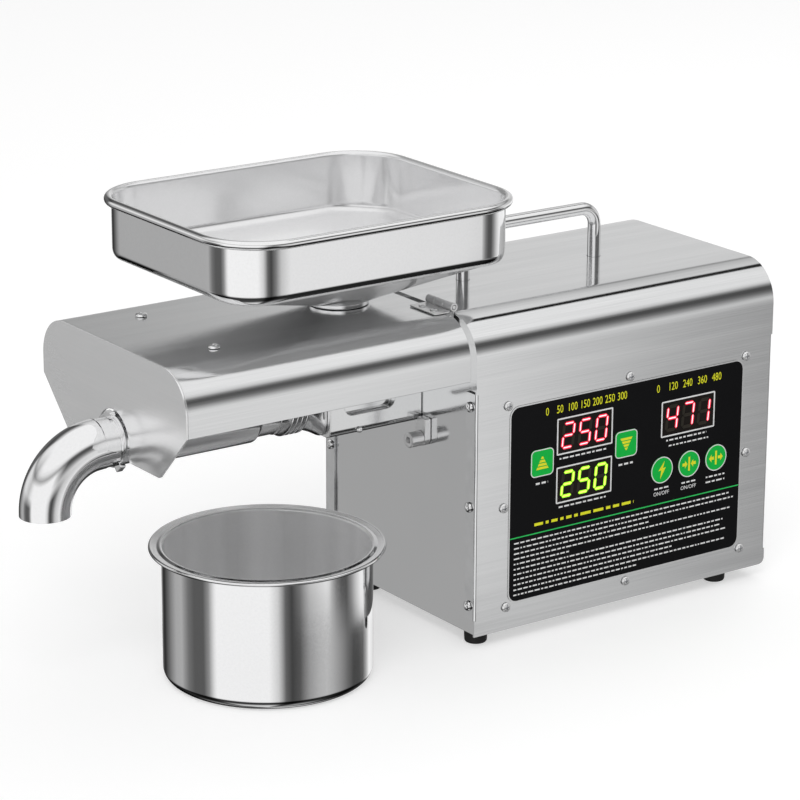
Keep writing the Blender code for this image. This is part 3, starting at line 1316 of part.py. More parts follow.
def power_inlet():
    """The mains inlet, with its recess and three pins."""
    seat = REAR_INSIDE + PLATE_THICKNESS + GAP
    half_w, half_h = INLET_WIDTH / 2, INLET_HEIGHT / 2
    centre = (INLET_Y, SERVICE_HEIGHT)
    flange = rounded(centre, INLET_FLANGE[0] / 2, INLET_FLANGE[1] / 2, INLET_CORNER, 2)
    inlet = piece("power_inlet", prism(flange, "X", seat, INLET_FACE), "black_plastic")
    depth = INLET_FACE - INLET_DEPTH
    low = (depth, INLET_Y - half_w, SERVICE_HEIGHT - half_h)
    add(inlet, box(low, (seat + SERVICE_FLANGE / 3, INLET_Y + half_w, SERVICE_HEIGHT + half_h)))
    wide, tall = half_w - INLET_WALL, half_h - INLET_WALL
    recess = [(-wide, -tall), (wide, -tall), (wide, tall - INLET_CHAMFER), (wide - INLET_CHAMFER, tall)]
    recess += [(INLET_CHAMFER - wide, tall), (-wide, tall - INLET_CHAMFER)]
    outline = [(INLET_Y + y, SERVICE_HEIGHT + z) for y, z in recess]
    cut(inlet, prism(outline, "X", depth + INLET_WALL, INLET_FACE + SHEET))
    pins = []
    half_pin, half_tall = INLET_PIN[0] / 2, INLET_PIN[1] / 2
    for y, z in INLET_PINS:
        low = (depth + INLET_WALL / 2, INLET_Y + y - half_pin, SERVICE_HEIGHT + z - half_tall)
        high = (INLET_FACE - INLET_PIN_RECESS, INLET_Y + y + half_pin, SERVICE_HEIGHT + z + half_tall)
        pins.append(box(low, high))
    add(inlet, *pins)


def rocker_pivot():
    return (INLET_FACE - ROCKER_DEPTH, SWITCH_Y, SERVICE_HEIGHT)


def power_switch():
    """The switch's frame and its rocker, which rests tilted to off."""
    seat = REAR_INSIDE + PLATE_THICKNESS + GAP
    half_w, half_h = SWITCH_WIDTH / 2, SWITCH_HEIGHT / 2
    flange = rounded((SWITCH_Y, SERVICE_HEIGHT), SWITCH_FLANGE[0] / 2, SWITCH_FLANGE[1] / 2, SHEET, 1)
    frame = piece("switch_frame", prism(flange, "X", seat, INLET_FACE), "black_plastic")
    depth = INLET_FACE - SWITCH_DEPTH
    low = (depth, SWITCH_Y - half_w, SERVICE_HEIGHT - half_h)
    add(frame, box(low, (seat + SERVICE_FLANGE / 3, SWITCH_Y + half_w, SERVICE_HEIGHT + half_h)))
    wide, tall = half_w - SWITCH_WALL, half_h - SWITCH_WALL
    low = (depth + SWITCH_WALL, SWITCH_Y - wide, SERVICE_HEIGHT - tall)
    cut(frame, box(low, (INLET_FACE + SHEET, SWITCH_Y + wide, SERVICE_HEIGHT + tall)))
    pivot = rocker_pivot()
    reach = tall - ROCKER_SPACE
    side = [
        (-ROCKER_EDGE, -0.8 * reach),
        (ROCKER_EDGE, -reach),
        (ROCKER_TIP, -reach),
        (ROCKER_MIDDLE, 0),
        (ROCKER_TIP, reach),
        (ROCKER_EDGE, reach),
        (-ROCKER_EDGE, 0.8 * reach),
    ]
    tilt = Matrix.Rotation(-ROCKER_SWING / 2, 2)
    turned_side = [tilt @ Vector(p) for p in side]
    outline = [(pivot[0] + p.x, pivot[2] + p.y) for p in turned_side]
    low, high = SWITCH_Y - wide + GAP, SWITCH_Y + wide - GAP
    piece("power_rocker", prism(outline, "Y", low, high), "black_plastic", pivot)


def drive_board():
    """The motor's supply board, on posts above the base tray."""
    length, width = DRIVE_BOARD
    low_x, low_y = DRIVE_BOARD_FROM_FRONT, DRIVE_BOARD_FROM_SIDE - SIDE
    high_x, high_y = low_x + length, low_y + width
    low = FOOT_HEIGHT + SHEET + DRIVE_BOARD_LIFT
    high = low + BOARD_THICKNESS
    seat = low + BOARD_THICKNESS / 2
    board = piece("drive_board", box((low_x, low_y, low), (high_x, high_y, high)), "board")
    parts = []
    x = low_x + PART_SPACE
    middle_y = (low_y + high_y) / 2
    for part_length, part_width, height in (HEAT_SINK, TRANSFORMER):
        corner = (x, middle_y - part_width / 2, seat)
        parts.append(box(corner, (x + part_length, middle_y + part_width / 2, high + height)))
        x += part_length + PART_SPACE
    radius, height = CAPACITOR
    parts.append(rod("Z", (x + radius, middle_y), radius, seat, high + height, 12))
    add(board, *parts)
    inset = DRIVE_BOARD_POST_INSET
    posts = [(x, y) for x in (low_x + inset, high_x - inset) for y in (low_y + inset, high_y - inset)]
    bottom = FOOT_HEIGHT + SHEET + GAP
    add(board, *[rod("Z", post, DRIVE_BOARD_POST, bottom, seat, 8) for post in posts])


housing_cover()
end_plates()
base_and_feet()
carry_handle()
control_panel()
panel_frame()
hood()
hinges()
feed_block()
press_barrel()
press_screw()
spout()
latch()
hopper()
oil_cup()
gearbox()
gear_train()
motor()
cooling_fan()
power_inlet()
power_switch()
drive_board()
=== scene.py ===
"""The finish and the fine shape of the screw oil press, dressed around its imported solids.

Metres. A mesh is drawn in the machine's own coordinates: x from the housing's front face towards the motor
end, y from the machine's middle plane, z from the floor. Its object then stands at ORIGIN in the frame.
"""

import math

import bmesh
import bpy
from mathutils import Matrix, Vector


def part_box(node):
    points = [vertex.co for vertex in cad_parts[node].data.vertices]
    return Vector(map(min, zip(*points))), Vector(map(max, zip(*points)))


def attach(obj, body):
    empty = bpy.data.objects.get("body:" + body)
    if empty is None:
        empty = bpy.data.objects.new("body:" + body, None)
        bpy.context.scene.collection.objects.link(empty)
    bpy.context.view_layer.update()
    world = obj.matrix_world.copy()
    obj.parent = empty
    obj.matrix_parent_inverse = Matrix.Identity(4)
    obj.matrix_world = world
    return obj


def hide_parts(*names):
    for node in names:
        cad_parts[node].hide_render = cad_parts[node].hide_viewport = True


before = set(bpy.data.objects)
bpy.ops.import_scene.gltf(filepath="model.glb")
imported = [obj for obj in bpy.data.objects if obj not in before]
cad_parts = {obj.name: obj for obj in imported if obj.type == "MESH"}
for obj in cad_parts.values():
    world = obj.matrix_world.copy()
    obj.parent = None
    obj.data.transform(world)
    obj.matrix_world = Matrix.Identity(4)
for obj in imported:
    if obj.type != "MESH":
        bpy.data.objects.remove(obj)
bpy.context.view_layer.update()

cover_low, cover_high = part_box("housing_cover")
ORIGIN = Vector((cover_low.x, (cover_low.y + cover_high.y) / 2, 0))


def corners(node):
    """A node's lowest and highest corner, in the machine's coordinates."""
    low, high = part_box(node)
    return low - ORIGIN, high - ORIGIN


def middle(node):
    low, high = corners(node)
    return (low + high) / 2


# Housing
SHEET = 0.0012
GAP = 0.0003
LENGTH, SIDE, TOP = corners("housing_cover")[1]
FOOT_HEIGHT = corners("housing_cover")[0].z
EDGE_RADIUS = 0.025
FLANGE_WIDTH = 0.010
FLANGE_LOW = 0.018
FLANGE_HIGH = TOP - 0.0446
FLANGE_BEND = 0.0016
REAR_CORNER = 0.004
FLANGE_SCREW_INSET = 0.0062
FLANGE_SCREW_END = 0.0085
PLATE_FRONT = SHEET + GAP
PLATE_BACK = corners("front_plate")[1].x
REAR_PLATE = LENGTH - SHEET - GAP - (PLATE_BACK - PLATE_FRONT)
FLANGE_SCREW = 0.0031
FLANGE_SCREW_HEIGHT = -GAP - corners("front_plate")[0].x
SHAFT_HOLE = 0.012

# Control panel
PANEL_LOW, PANEL_HIGH = corners("control_panel")
PANEL_MIDDLE = middle("control_panel")
PANEL_HALF_X = PANEL_HIGH.x - PANEL_MIDDLE.x
PANEL_HALF_Z = PANEL_HIGH.z - PANEL_MIDDLE.z
PANEL_FACE = PANEL_LOW.y
PANEL_CORNER = 0.006
PANEL_BORDER = 0.0007
PANEL_SCREW = 0.0029
SCREW_CORNER = 0.002
SCREW_SIDE = 0.0045
SCREW_PROUD = -SIDE - GAP - corners("panel_frame")[0].y
PRINT = 0.00006
WINDOW_CORNER = 0.0006
KEY_CORNER = 0.003
KEY_BACK = PANEL_FACE + 0.0027
KEY_LINE = 0.0006
# The displays' figures and colours, then each key's symbol and whether it is round
DISPLAYS = {"current": ("250", "red"), "set": ("250", "lime"), "timer": ("471", "red")}
KEYS = {
    "raise_button": ("up", False), "lower_button": ("down", False), "power_button": ("bolt", True),
    "press_button": ("in", True), "reverse_button": ("out", True),
}

# Hood
HOOD_LOW, HOOD_HIGH = corners("hood_shell")
HOOD_RADIUS = 0.024
NECK_HOLE = 0.0166
HOOD_SCREW = 0.0035
HOOD_SCREW_SHANK = 0.0015
HINGE_BARREL = 0.0025
HINGE_PIN = 0.0012
HINGE_SHEET = 0.0007
HINGE_SHORTER = 0.0055

# Press
AXIS = middle("press_barrel").z
BORE = 0.0145
BLOCK_LOW, BLOCK_HIGH = corners("feed_block")
BLOCK_EDGE = 0.005

# Hopper and cup
TRAY_LOW, TRAY_HIGH = corners("hopper_tray")
TRAY_MIDDLE = middle("hopper_tray")
TRAY_SHEET = 0.001
TRAY_CORNER = 0.038
RIM = 0.0026
THROAT_X = middle("hopper_neck").x
CUP_LOW, CUP_HIGH = corners("oil_cup")
CUP_MIDDLE = ((CUP_LOW.x + CUP_HIGH.x) / 2, (CUP_LOW.y + CUP_HIGH.y) / 2)


# Shapes


def loft(loops, ends=True, closed=False):
    """Joins loops of equally many points. With ends the outer loops are filled, closed joins them up."""
    shape = bmesh.new()
    rings = [[shape.verts.new(point) for point in loop] for loop in loops]
    pairs = list(zip(rings, rings[1:]))
    if closed:
        pairs.append((rings[-1], rings[0]))
    for first, second in pairs:
        for i in range(len(first)):
            j = (i + 1) % len(first)
            shape.faces.new((first[i], first[j], second[j], second[i]))
    if ends and not closed:
        shape.faces.new(reversed(rings[0]))
        shape.faces.new(rings[-1])
    return shape


def level(outline, axis, along):
    """The points of an outline that lies across an axis, at a place along it."""
    order = {"X": (2, 0, 1), "Y": (0, 2, 1), "Z": (0, 1, 2)}[axis]
    return [tuple((a, b, along)[k] for k in order) for a, b in outline]


def prism(outline, axis, low, high):
    return loft([level(outline, axis, along) for along in (low, high)])


def rectangle(low_a, low_b, high_a, high_b):
    return [(low_a, low_b), (high_a, low_b), (high_a, high_b), (low_a, high_b)]


def arc(centre, radius, start, end, steps):
    """Points on an arc, angles in degrees."""
    angles = [math.radians(start + (end - start) * i / steps) for i in range(steps + 1)]
    return [(centre[0] + radius * math.cos(t), centre[1] + radius * math.sin(t)) for t in angles]


def circle(centre, radius, count):
    return arc(centre, radius, 0, 360 - 360 / count, count - 1)


def rounded(centre, half_a, half_b, radius, steps=8):
    """A rectangle with rounded corners, anticlockwise."""
    points = []
    for k, (sign_a, sign_b) in enumerate(((1, 1), (-1, 1), (-1, -1), (1, -1))):
        corner = (centre[0] + sign_a * (half_a - radius), centre[1] + sign_b * (half_b - radius))
        points += arc(corner, radius, 90 * k, 90 * k + 90, steps)
    return points


def softened(points, radius, steps=3, closed=False):
    """Rounds the corners of a path."""
    path = []
    last = len(points) - 1
    for i, corner in enumerate(points):
        if not closed and i in (0, last):
            path.append(tuple(corner))
            continue
        corner = Vector(corner)
        before = Vector(points[i - 1]) - corner
        after = Vector(points[(i + 1) % len(points)]) - corner
        reach = min(radius, before.length * 0.45, after.length * 0.45)
        start = corner + before.normalized() * reach
        end = corner + after.normalized() * reach
        for k in range(steps + 1):
            t = k / steps
            path.append(tuple(start * (1 - t) ** 2 + corner * 2 * t * (1 - t) + end * t ** 2))
    return path


def between(first, second, share):
    """The point that lies a share of the way from one point to another."""
    return tuple(a + (b - a) * share for a, b in zip(first, second))


def turned(axis, centre, profile, count=48):
    """Turns a profile of (radius, along) points, which starts and ends on the axis or closes on itself."""
    shape = bmesh.new()
    rings = []
    for radius, along in profile:
        around = circle(centre, radius, count) if radius else [centre]
        ring = [shape.verts.new(point) for point in level(around, axis, along)]
        rings.append(ring if radius else ring * count)
    pairs = list(zip(rings, rings[1:]))
    if profile[0][0]:
        pairs.append((rings[-1], rings[0]))
    for first, second in pairs:
        for i in range(count):
            j = (i + 1) % count
            face = list(dict.fromkeys((first[i], first[j], second[j], second[i])))
            if len(face) > 2:
                shape.faces.new(face)
    return shape


def sleeve(axis, centre, profile, edge, count=96):
    """A ring turned from a closed profile, with its edges rounded."""
    return turned(axis, centre, softened(profile, edge, 3, True), count)


def swept(path, radius, count):
    """Circles square to a path of (x, z) points in the middle plane."""
    sideways = Vector((0, 1, 0))
    loops = []
    for i, (x, z) in enumerate(path):
        before, after = path[max(i - 1, 0)], path[min(i + 1, len(path) - 1)]
        along = Vector((after[0] - before[0], 0, after[1] - before[1])).normalized()
        across = along.cross(sideways)
        loops.append([Vector((x, 0, z)) + radius * (a * across + b * sideways)
                      for a, b in circle((0, 0), 1, count)])
    return loops


def arch(half, top, low, radius, inset, steps=14):
    """Half-width, top, lower edge and corner radius of a section that is open below, as a closed outline."""
    half, top, corner = half - inset, top - inset, radius - inset
    points = [(half, low)]
    points += arc((half - corner, top - corner), corner, 0, 90, steps)
    points += arc((corner - half, top - corner), corner, 90, 180, steps)
    return points + [(-half, low)]


def mesh_of(name, shape):
    """Turns a bmesh into a mesh, which uses it up."""
    mesh = bpy.data.meshes.new(name)
    shape.to_mesh(mesh)
    shape.free()
    return mesh


def merged(*shapes):
    """One bmesh of several that stay apart from each other."""
    together = bmesh.new()
    for shape in shapes:
        bmesh.ops.recalc_face_normals(shape, faces=shape.faces)
        mesh = mesh_of("part", shape)
        together.from_mesh(mesh)
        bpy.data.meshes.remove(mesh)
    return together


def aim_skin(shape, rank, point):
    """Turns an open sheet's faces so that the one that ranks lowest looks towards a point."""
    bmesh.ops.recalc_face_normals(shape, faces=shape.faces)
    shape.faces.ensure_lookup_table()
    face = min(shape.faces, key=rank)
    if face.normal.dot(Vector(point) - face.calc_center_median()) < 0:
        bmesh.ops.reverse_faces(shape, faces=shape.faces)


def recess(kind, size, centre=(0, 0)):
    """The outline of a screw's recess: a hexagon, or a cross."""
    points = []
    count = 48
    for k in range(count):
        t = 2 * math.pi * k / count
        if kind == "hex":
            step = math.pi / 3
            radius = size / math.cos((t % step) - step / 2)
        else:
            fold = abs(((t + math.pi / 4) % (math.pi / 2)) - math.pi / 4)
            radius = min(size / max(math.cos(fold), 0.5), size * 0.24 / max(math.sin(fold), 0.05))
        points.append((centre[0] + radius * math.cos(t), centre[1] + radius * math.sin(t)))
    return points


def screw_head(place, direction, radius, height, kind="cross"):
    """A domed head with a recess, resting at place and looking in a direction."""
    dome = ((0.97, 0), (1, 0.12), (0.98, 0.42), (0.93, 0.64), (0.84, 0.82), (0.74, 0.93), (0.68, 0.97))
    loops = [level(circle((0, 0), radius * share, 48), "Z", height * lift) for share, lift in dome]
    opening = radius * (0.42 if kind == "hex" else 0.62)
    for lift, scale in ((1, 1.04), (0.97, 1), (0.38, 0.82)):
        loops.append(level(recess(kind, opening * scale), "Z", height * lift))
    shape = loft(loops)
    turn = Vector((0, 0, 1)).rotation_difference(Vector(direction)).to_matrix().to_4x4()
    shape.transform(Matrix.Translation(place) @ turn)
    return shape


# Materials


def configure(thing, **settings):
    """Sets attributes of a thing and returns it."""
    for name, value in settings.items():
        setattr(thing, name, value)
    return thing


def feed(tree, node, inputs):
    """Gives a node's sockets their values or their links."""
    for socket, value in inputs.items():
        if isinstance(value, bpy.types.NodeSocket):
            tree.links.new(value, node.inputs[socket])
        else:
            node.inputs[socket].default_value = value


def add_node(tree, kind, inputs, **settings):
    made = configure(tree.nodes.new("ShaderNode" + kind), **settings)
    feed(tree, made, inputs)
    return made


def new_material(name):
    made = bpy.data.materials.new(name)
    made.use_nodes = True
    return made, made.node_tree, made.node_tree.nodes["Principled BSDF"]


def grey(value):
    return (value, value, value, 1)


def coordinate(tree, kind):
    return add_node(tree, "TexCoord", {}).outputs[kind]


def calc(tree, operation, *values):
    """One operation on sockets and numbers."""
    return add_node(tree, "Math", dict(enumerate(values)), operation=operation).outputs[0]


def calc_vector(tree, operation, *values):
    return add_node(tree, "VectorMath", dict(enumerate(values)), operation=operation).outputs


def mix(tree, factor, first, second, kind="MIX"):
    inputs = {"Factor": factor, "A": first, "B": second}
    return add_node(tree, "Mix", inputs, data_type="RGBA", blend_type=kind).outputs["Result"]


def noise(tree, scales, detail=3.0):
    """Noise whose features measure one over scales, per metre, along each axis or along all."""
    scales = scales if isinstance(scales, tuple) else (scales, scales, scales)
    mapping = add_node(tree, "Mapping", {"Vector": coordinate(tree, "Object"), "Scale": scales})
    inputs = {"Vector": mapping.outputs[0], "Scale": 1.0, "Detail": detail, "Roughness": 0.55}
    return add_node(tree, "TexNoise", inputs).outputs["Fac"]


def ranged(tree, value, low, high, from_low=0.3, from_high=0.7):
    inputs = {"Value": value, "From Min": from_low, "From Max": from_high, "To Min": low, "To Max": high}
    return add_node(tree, "MapRange", inputs).outputs["Result"]


def inward(tree, centre):
    """1 on faces that look towards a vessel's centre, 0 on its outer faces."""
    towards = calc_vector(tree, "SUBTRACT", centre, coordinate(tree, "Object"))[0]
    towards = calc_vector(tree, "NORMALIZE", towards)[0]
    towards = calc_vector(tree, "DOT_PRODUCT", towards, coordinate(tree, "Normal"))["Value"]
    return ranged(tree, towards, 0, 1, 0.15, 0.3)


MICRON = 1e-6


def surface(name, metallic, colours, roughness, grain, mottle, bump, wave=0.0, specular=0.5, coat=0.0,
            inside_painted_light=None, under=None):
    """A material whose colour and roughness follow a grain and a broad mottle.

    colours is a dark and a light one, roughness a low and a high one, grain and mottle are noise scales.
    bump is the grain's depth and wave that of a slow unevenness, in microns. inside_painted_light is a
    vessel's centre with the lowest and the highest metallic share of its inside, which changes around the
    wall in vertical bands, and what it
    adds to the roughness: the inside's lower metallic share and its bands stand in for the light and
    reflections seen inside, which is painted light and painted reflection bands. under is the metallic share
    of its underside, lowered so
    that the underside renders lighter: painted light.
    """
    made, tree, shader = new_material(name)
    feed(tree, shader, {"Metallic": metallic, "Specular IOR Level": specular, "Coat Weight": coat})
    fine, broad = noise(tree, grain), noise(tree, mottle, 2.0)
    both = calc(tree, "ADD", fine, broad)
    colour = mix(tree, ranged(tree, both, 0, 1, 0.7, 1.3), (*colours[0], 1), (*colours[1], 1))
    gloss = ranged(tree, both, *roughness, 0.7, 1.3)
    # The inside faces lose metallic share in vertical bands: painted light and painted reflection bands in
    # place of the steel's own look
    if inside_painted_light:
        centre, low_metal, high_metal, rough = inside_painted_light
        inside = inward(tree, centre)
        around = noise(tree, (34, 34, 1), 1.0)
        bands = ranged(tree, around, metallic - low_metal, metallic - high_metal, 0.38, 0.62)
        share = calc(tree, "SUBTRACT", metallic, calc(tree, "MULTIPLY", inside, bands))
        # The underside faces lose metallic share so that they render lighter: painted light
        if under is not None:
            upward = add_node(tree, "SeparateXYZ", {0: coordinate(tree, "Normal")}).outputs["Z"]
            share = calc(tree, "MULTIPLY", share, ranged(tree, upward, under, 1, -0.70, -0.55))
        feed(tree, shader, {"Metallic": share})
        gloss = calc(tree, "ADD", gloss, ranged(tree, inside, 0, rough, 0, 1))
    feed(tree, shader, {"Base Color": colour, "Roughness": gloss})
    relief = {}
    for height, depth in ((broad, wave), (fine, bump)):
        if depth:
            inputs = {"Height": height, "Strength": 1.0, "Distance": depth * MICRON, **relief}
            relief = {"Normal": add_node(tree, "Bump", inputs).outputs["Normal"]}
    feed(tree, shader, relief)
    return made


def lit(name, colour, strength=1.0):
    """A lamp segment behind a window, a little uneven."""
    made, tree, shader = new_material(name)
    glow = ranged(tree, noise(tree, 900), 0.85 * strength, strength)
    colour = (*colour, 1)
    feed(tree, shader, {"Base Color": colour, "Roughness": 0.3})
    feed(tree, shader, {"Emission Color": colour, "Emission Strength": glow})
    return made


STREAKS = (14, 2600, 2600)
BENDS = (5, 90, 90)
STEEL = ((0.70, 0.705, 0.71), (0.82, 0.823, 0.826))
POLISH = ((0.84, 0.84, 0.845), (0.88, 0.88, 0.885))
PRINTED = ((0.35, 0.45), 1800, 120, 1)
# The cup's and the tray's insides get a lower metallic share than the steel: painted light, in the cup also
# painted reflection bands
INSIDE_CENTRE_ABOVE = 0.004
CUP_INSIDE_PAINTED_LIGHT = ((*CUP_MIDDLE, CUP_HIGH.z + INSIDE_CENTRE_ABOVE), 0.04, 0.34, 0.14)
TRAY_INSIDE_PAINTED_LIGHT = ((TRAY_MIDDLE.x, 0, TRAY_HIGH.z + INSIDE_CENTRE_ABOVE), 0.67, 0.67, 0.08)
# Each finish with the slot that it fills, and then what surface() takes, in its order
SURFACES = (
    ("brushed", "brushed_steel", "brushed_steel", 1, STEEL, (0.07, 0.13), STREAKS, BENDS, 1.2, 30),
    ("hood", "brushed_steel", "hood_steel", 1, STEEL, (0.11, 0.17), STREAKS, BENDS, 1.2, 30),
    # The hood's end plate is paler and less metallic than the other steel so that it renders lighter: painted
    # light
    ("end_plate_painted_light", "brushed_steel", "brushed_end_painted_light", 0.72, ((0.88, 0.885, 0.89), (0.94, 0.94, 0.94)),
     (0.15, 0.21), (2600, 14, 2600), (90, 6, 90), 1, 40),
    ("rear", "brushed_steel", "rear_steel", 0.55, ((0.70, 0.705, 0.71), (0.80, 0.803, 0.806)),
     (0.26, 0.34), STREAKS, BENDS, 1.2, 30),
    ("pale", "chrome", "pale_steel", 0.6, ((0.86, 0.86, 0.865), (0.92, 0.92, 0.92)), (0.18, 0.26),
     900, 9, 0.5),
    ("satin", "satin_steel", "satin_steel", 1, ((0.76, 0.765, 0.77), (0.84, 0.84, 0.84)), (0.14, 0.20),
     900, 9, 1, 200),
    ("plate", "satin_steel", "plate_steel", 1, ((0.74, 0.745, 0.75), (0.80, 0.80, 0.80)), (0.10, 0.14),
     STREAKS, 9, 1, 300),
    ("polished", "polished_steel", "polished_steel", 1, POLISH, (0.04, 0.08), 700, 9, 0.3, 400),
    # The cup's and the tray's insides carry painted light, the cup's also painted reflection bands; the
    # tray's underside is lightened by painted light
    ("cup", "polished_steel", "cup_steel", 1, POLISH, (0.04, 0.07), 700, 9, 0.3, 400, 0.5, 0, CUP_INSIDE_PAINTED_LIGHT),
    ("tray", "polished_steel", "tray_steel", 1, POLISH, (0.04, 0.07), 700, 9, 0.3, 400, 0.5, 0,
     TRAY_INSIDE_PAINTED_LIGHT, 0.2),
    ("chrome", "chrome", "chrome", 1, ((0.86, 0.86, 0.865), (0.90, 0.90, 0.90)), (0.05, 0.09), 900, 9, 0.5),
    ("gear", "gear_steel", "gear_steel", 1, ((0.36, 0.37, 0.39), (0.50, 0.51, 0.53)), (0.26, 0.42),
     1200, 40, 4),
    ("aluminium", "cast_aluminium", "cast_aluminium", 1, ((0.50, 0.51, 0.53), (0.62, 0.63, 0.65)),
     (0.40, 0.55), 2200, 60, 30),
    ("paint", "motor_paint", "motor_paint", 0, ((0.030, 0.030, 0.034), (0.045, 0.045, 0.05)), (0.30, 0.42),
     1500, 50, 10, 0, 0.5, 0.3),
    ("rubber", "foot_rubber", "foot_rubber", 0, ((0.010, 0.010, 0.010), (0.022, 0.022, 0.022)), (0.55, 0.75),
     2500, 80, 20),
    ("panel", "panel_black", "panel_film", 0, ((0.0035, 0.0035, 0.004), (0.005, 0.005, 0.006)), (0.16, 0.24),
     1800, 30, 1.5, 0, 0.08),
    ("window", "display_window", "display_window", 0, ((0.008, 0.006, 0.005), (0.014, 0.010, 0.008)),
     (0.10, 0.16), 1500, 30, 1, 0, 0.1),
    ("ghost", "display_window", "unlit_segment", 0, ((0.030, 0.026, 0.020), (0.040, 0.034, 0.026)),
     (0.3, 0.4), 1500, 60, 1, 0, 0.1),
    ("green", "green_key", "green_key", 0, ((0.005, 0.52, 0.060), (0.009, 0.60, 0.080)), (0.28, 0.36),
     1800, 120, 2, 0, 0.12),
    ("green_print", "green_key", "green_print", 0, ((0.014, 0.66, 0.12), (0.018, 0.74, 0.14)), *PRINTED),
    ("white_print", "panel_black", "white_print", 0, ((0.90, 0.90, 0.90), (0.96, 0.96, 0.96)), *PRINTED),
    ("yellow_print", "green_key", "yellow_print", 0, ((0.93, 0.93, 0.008), (0.99, 0.98, 0.012)), *PRINTED),
    ("board", "circuit_board", "circuit_board", 0, ((0.015, 0.13, 0.055), (0.025, 0.18, 0.08)), (0.35, 0.5),
     900, 150, 10),
    ("plastic", "black_plastic", "black_plastic", 0, ((0.022, 0.022, 0.022), (0.034, 0.034, 0.034)),
     (0.38, 0.52), 3000, 90, 10),
)
LIGHTS = (
    ("red_light", (1.0, 0.018, 0.06), 0.62), ("red_core", (1.0, 0.66, 0.72)),
    ("lime_light", (0.42, 1.0, 0.02), 0.72), ("lime_core", (0.78, 1.0, 0.16)),
)
MATERIALS = {key: surface(*look) for key, _, *look in SURFACES}
MATERIALS.update({look[0]: lit(*look) for look in LIGHTS})
SLOTS = {key: slot for key, slot, *_ in SURFACES}
SLOTS.update({look[0]: "display_window" for look in LIGHTS})


# Pieces


def stand(name, data, place):
    """An object for some data, linked to the scene at a place."""
    made = configure(bpy.data.objects.new(name, data), location=place)
    bpy.context.scene.collection.objects.link(made)
    return made


def evaluated(made):
    """A new mesh of an object as its modifiers or its text make it."""
    bpy.context.view_layer.update()
    depsgraph = bpy.context.evaluated_depsgraph_get()
    return bpy.data.meshes.new_from_object(made.evaluated_get(depsgraph), depsgraph=depsgraph)


def piece(name, shape, finish, replaced=(), cuts=(), bevel=0.0, body="housing", sharp=35, thickness=0.0):
    """Makes a named piece of a bmesh, or of a list of them that stay apart.

    Holes are cut and edges rounded. Its normals keep flat faces flat.
    """
    if isinstance(shape, list):
        shape = merged(*shape)
    bmesh.ops.remove_doubles(shape, verts=shape.verts, dist=1e-7)
    if not thickness:
        bmesh.ops.recalc_face_normals(shape, faces=shape.faces)
    mesh = mesh_of(name, shape)
    made = stand(name, mesh, ORIGIN)
    tool = None
    if thickness:
        configure(made.modifiers.new("sheet", "SOLIDIFY"), thickness=abs(thickness),
                  offset=math.copysign(1, thickness), use_even_offset=True)
    if cuts:
        tool = stand("cuts", mesh_of("cuts", merged(*cuts)), ORIGIN)
        configure(made.modifiers.new("holes", "BOOLEAN"), solver="EXACT", object=tool)
    if bevel:
        configure(made.modifiers.new("edges", "BEVEL"), width=bevel, segments=3, limit_method="ANGLE",
                  angle_limit=math.radians(40))
    if made.modifiers:
        applied = evaluated(made)
        made.modifiers.clear()
        made.data = applied
        applied.name = name
        bpy.data.meshes.remove(mesh)
    if tool:
        tool_mesh = tool.data
        bpy.data.objects.remove(tool)
        bpy.data.meshes.remove(tool_mesh)
    made.data.shade_smooth()
    made.data.set_sharp_from_angle(angle=math.radians(sharp))
    made.data.materials.clear()
    made.data.materials.append(MATERIALS[finish])
    configure(made.modifiers.new("normals", "WEIGHTED_NORMAL"), keep_sharp=True)
    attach(made, body)
    if replaced:
        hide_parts(*replaced)
    return made


def screw_heads(name, places, direction, radius, height, kind="cross", finish="chrome", body="housing"):
    """One piece of the screw heads at several places."""
    heads = [screw_head(place, direction, radius, height, kind) for place in places]
    piece(name, heads, finish, body=body)


# Housing


def flange_screws(name, x, out):
    """The screw heads on an end flange at x, where out says which way it faces."""
    across = SIDE - FLANGE_SCREW_INSET
    low, high = FLANGE_LOW + FLANGE_SCREW_END, FLANGE_HIGH - FLANGE_SCREW_END
    seats = [(x, side * across, height) for side in (-1, 1) for height in (low, (low + high) / 2, high)]
    screw_heads(name, seats, (out, 0, 0), FLANGE_SCREW, FLANGE_SCREW_HEIGHT, "hex")


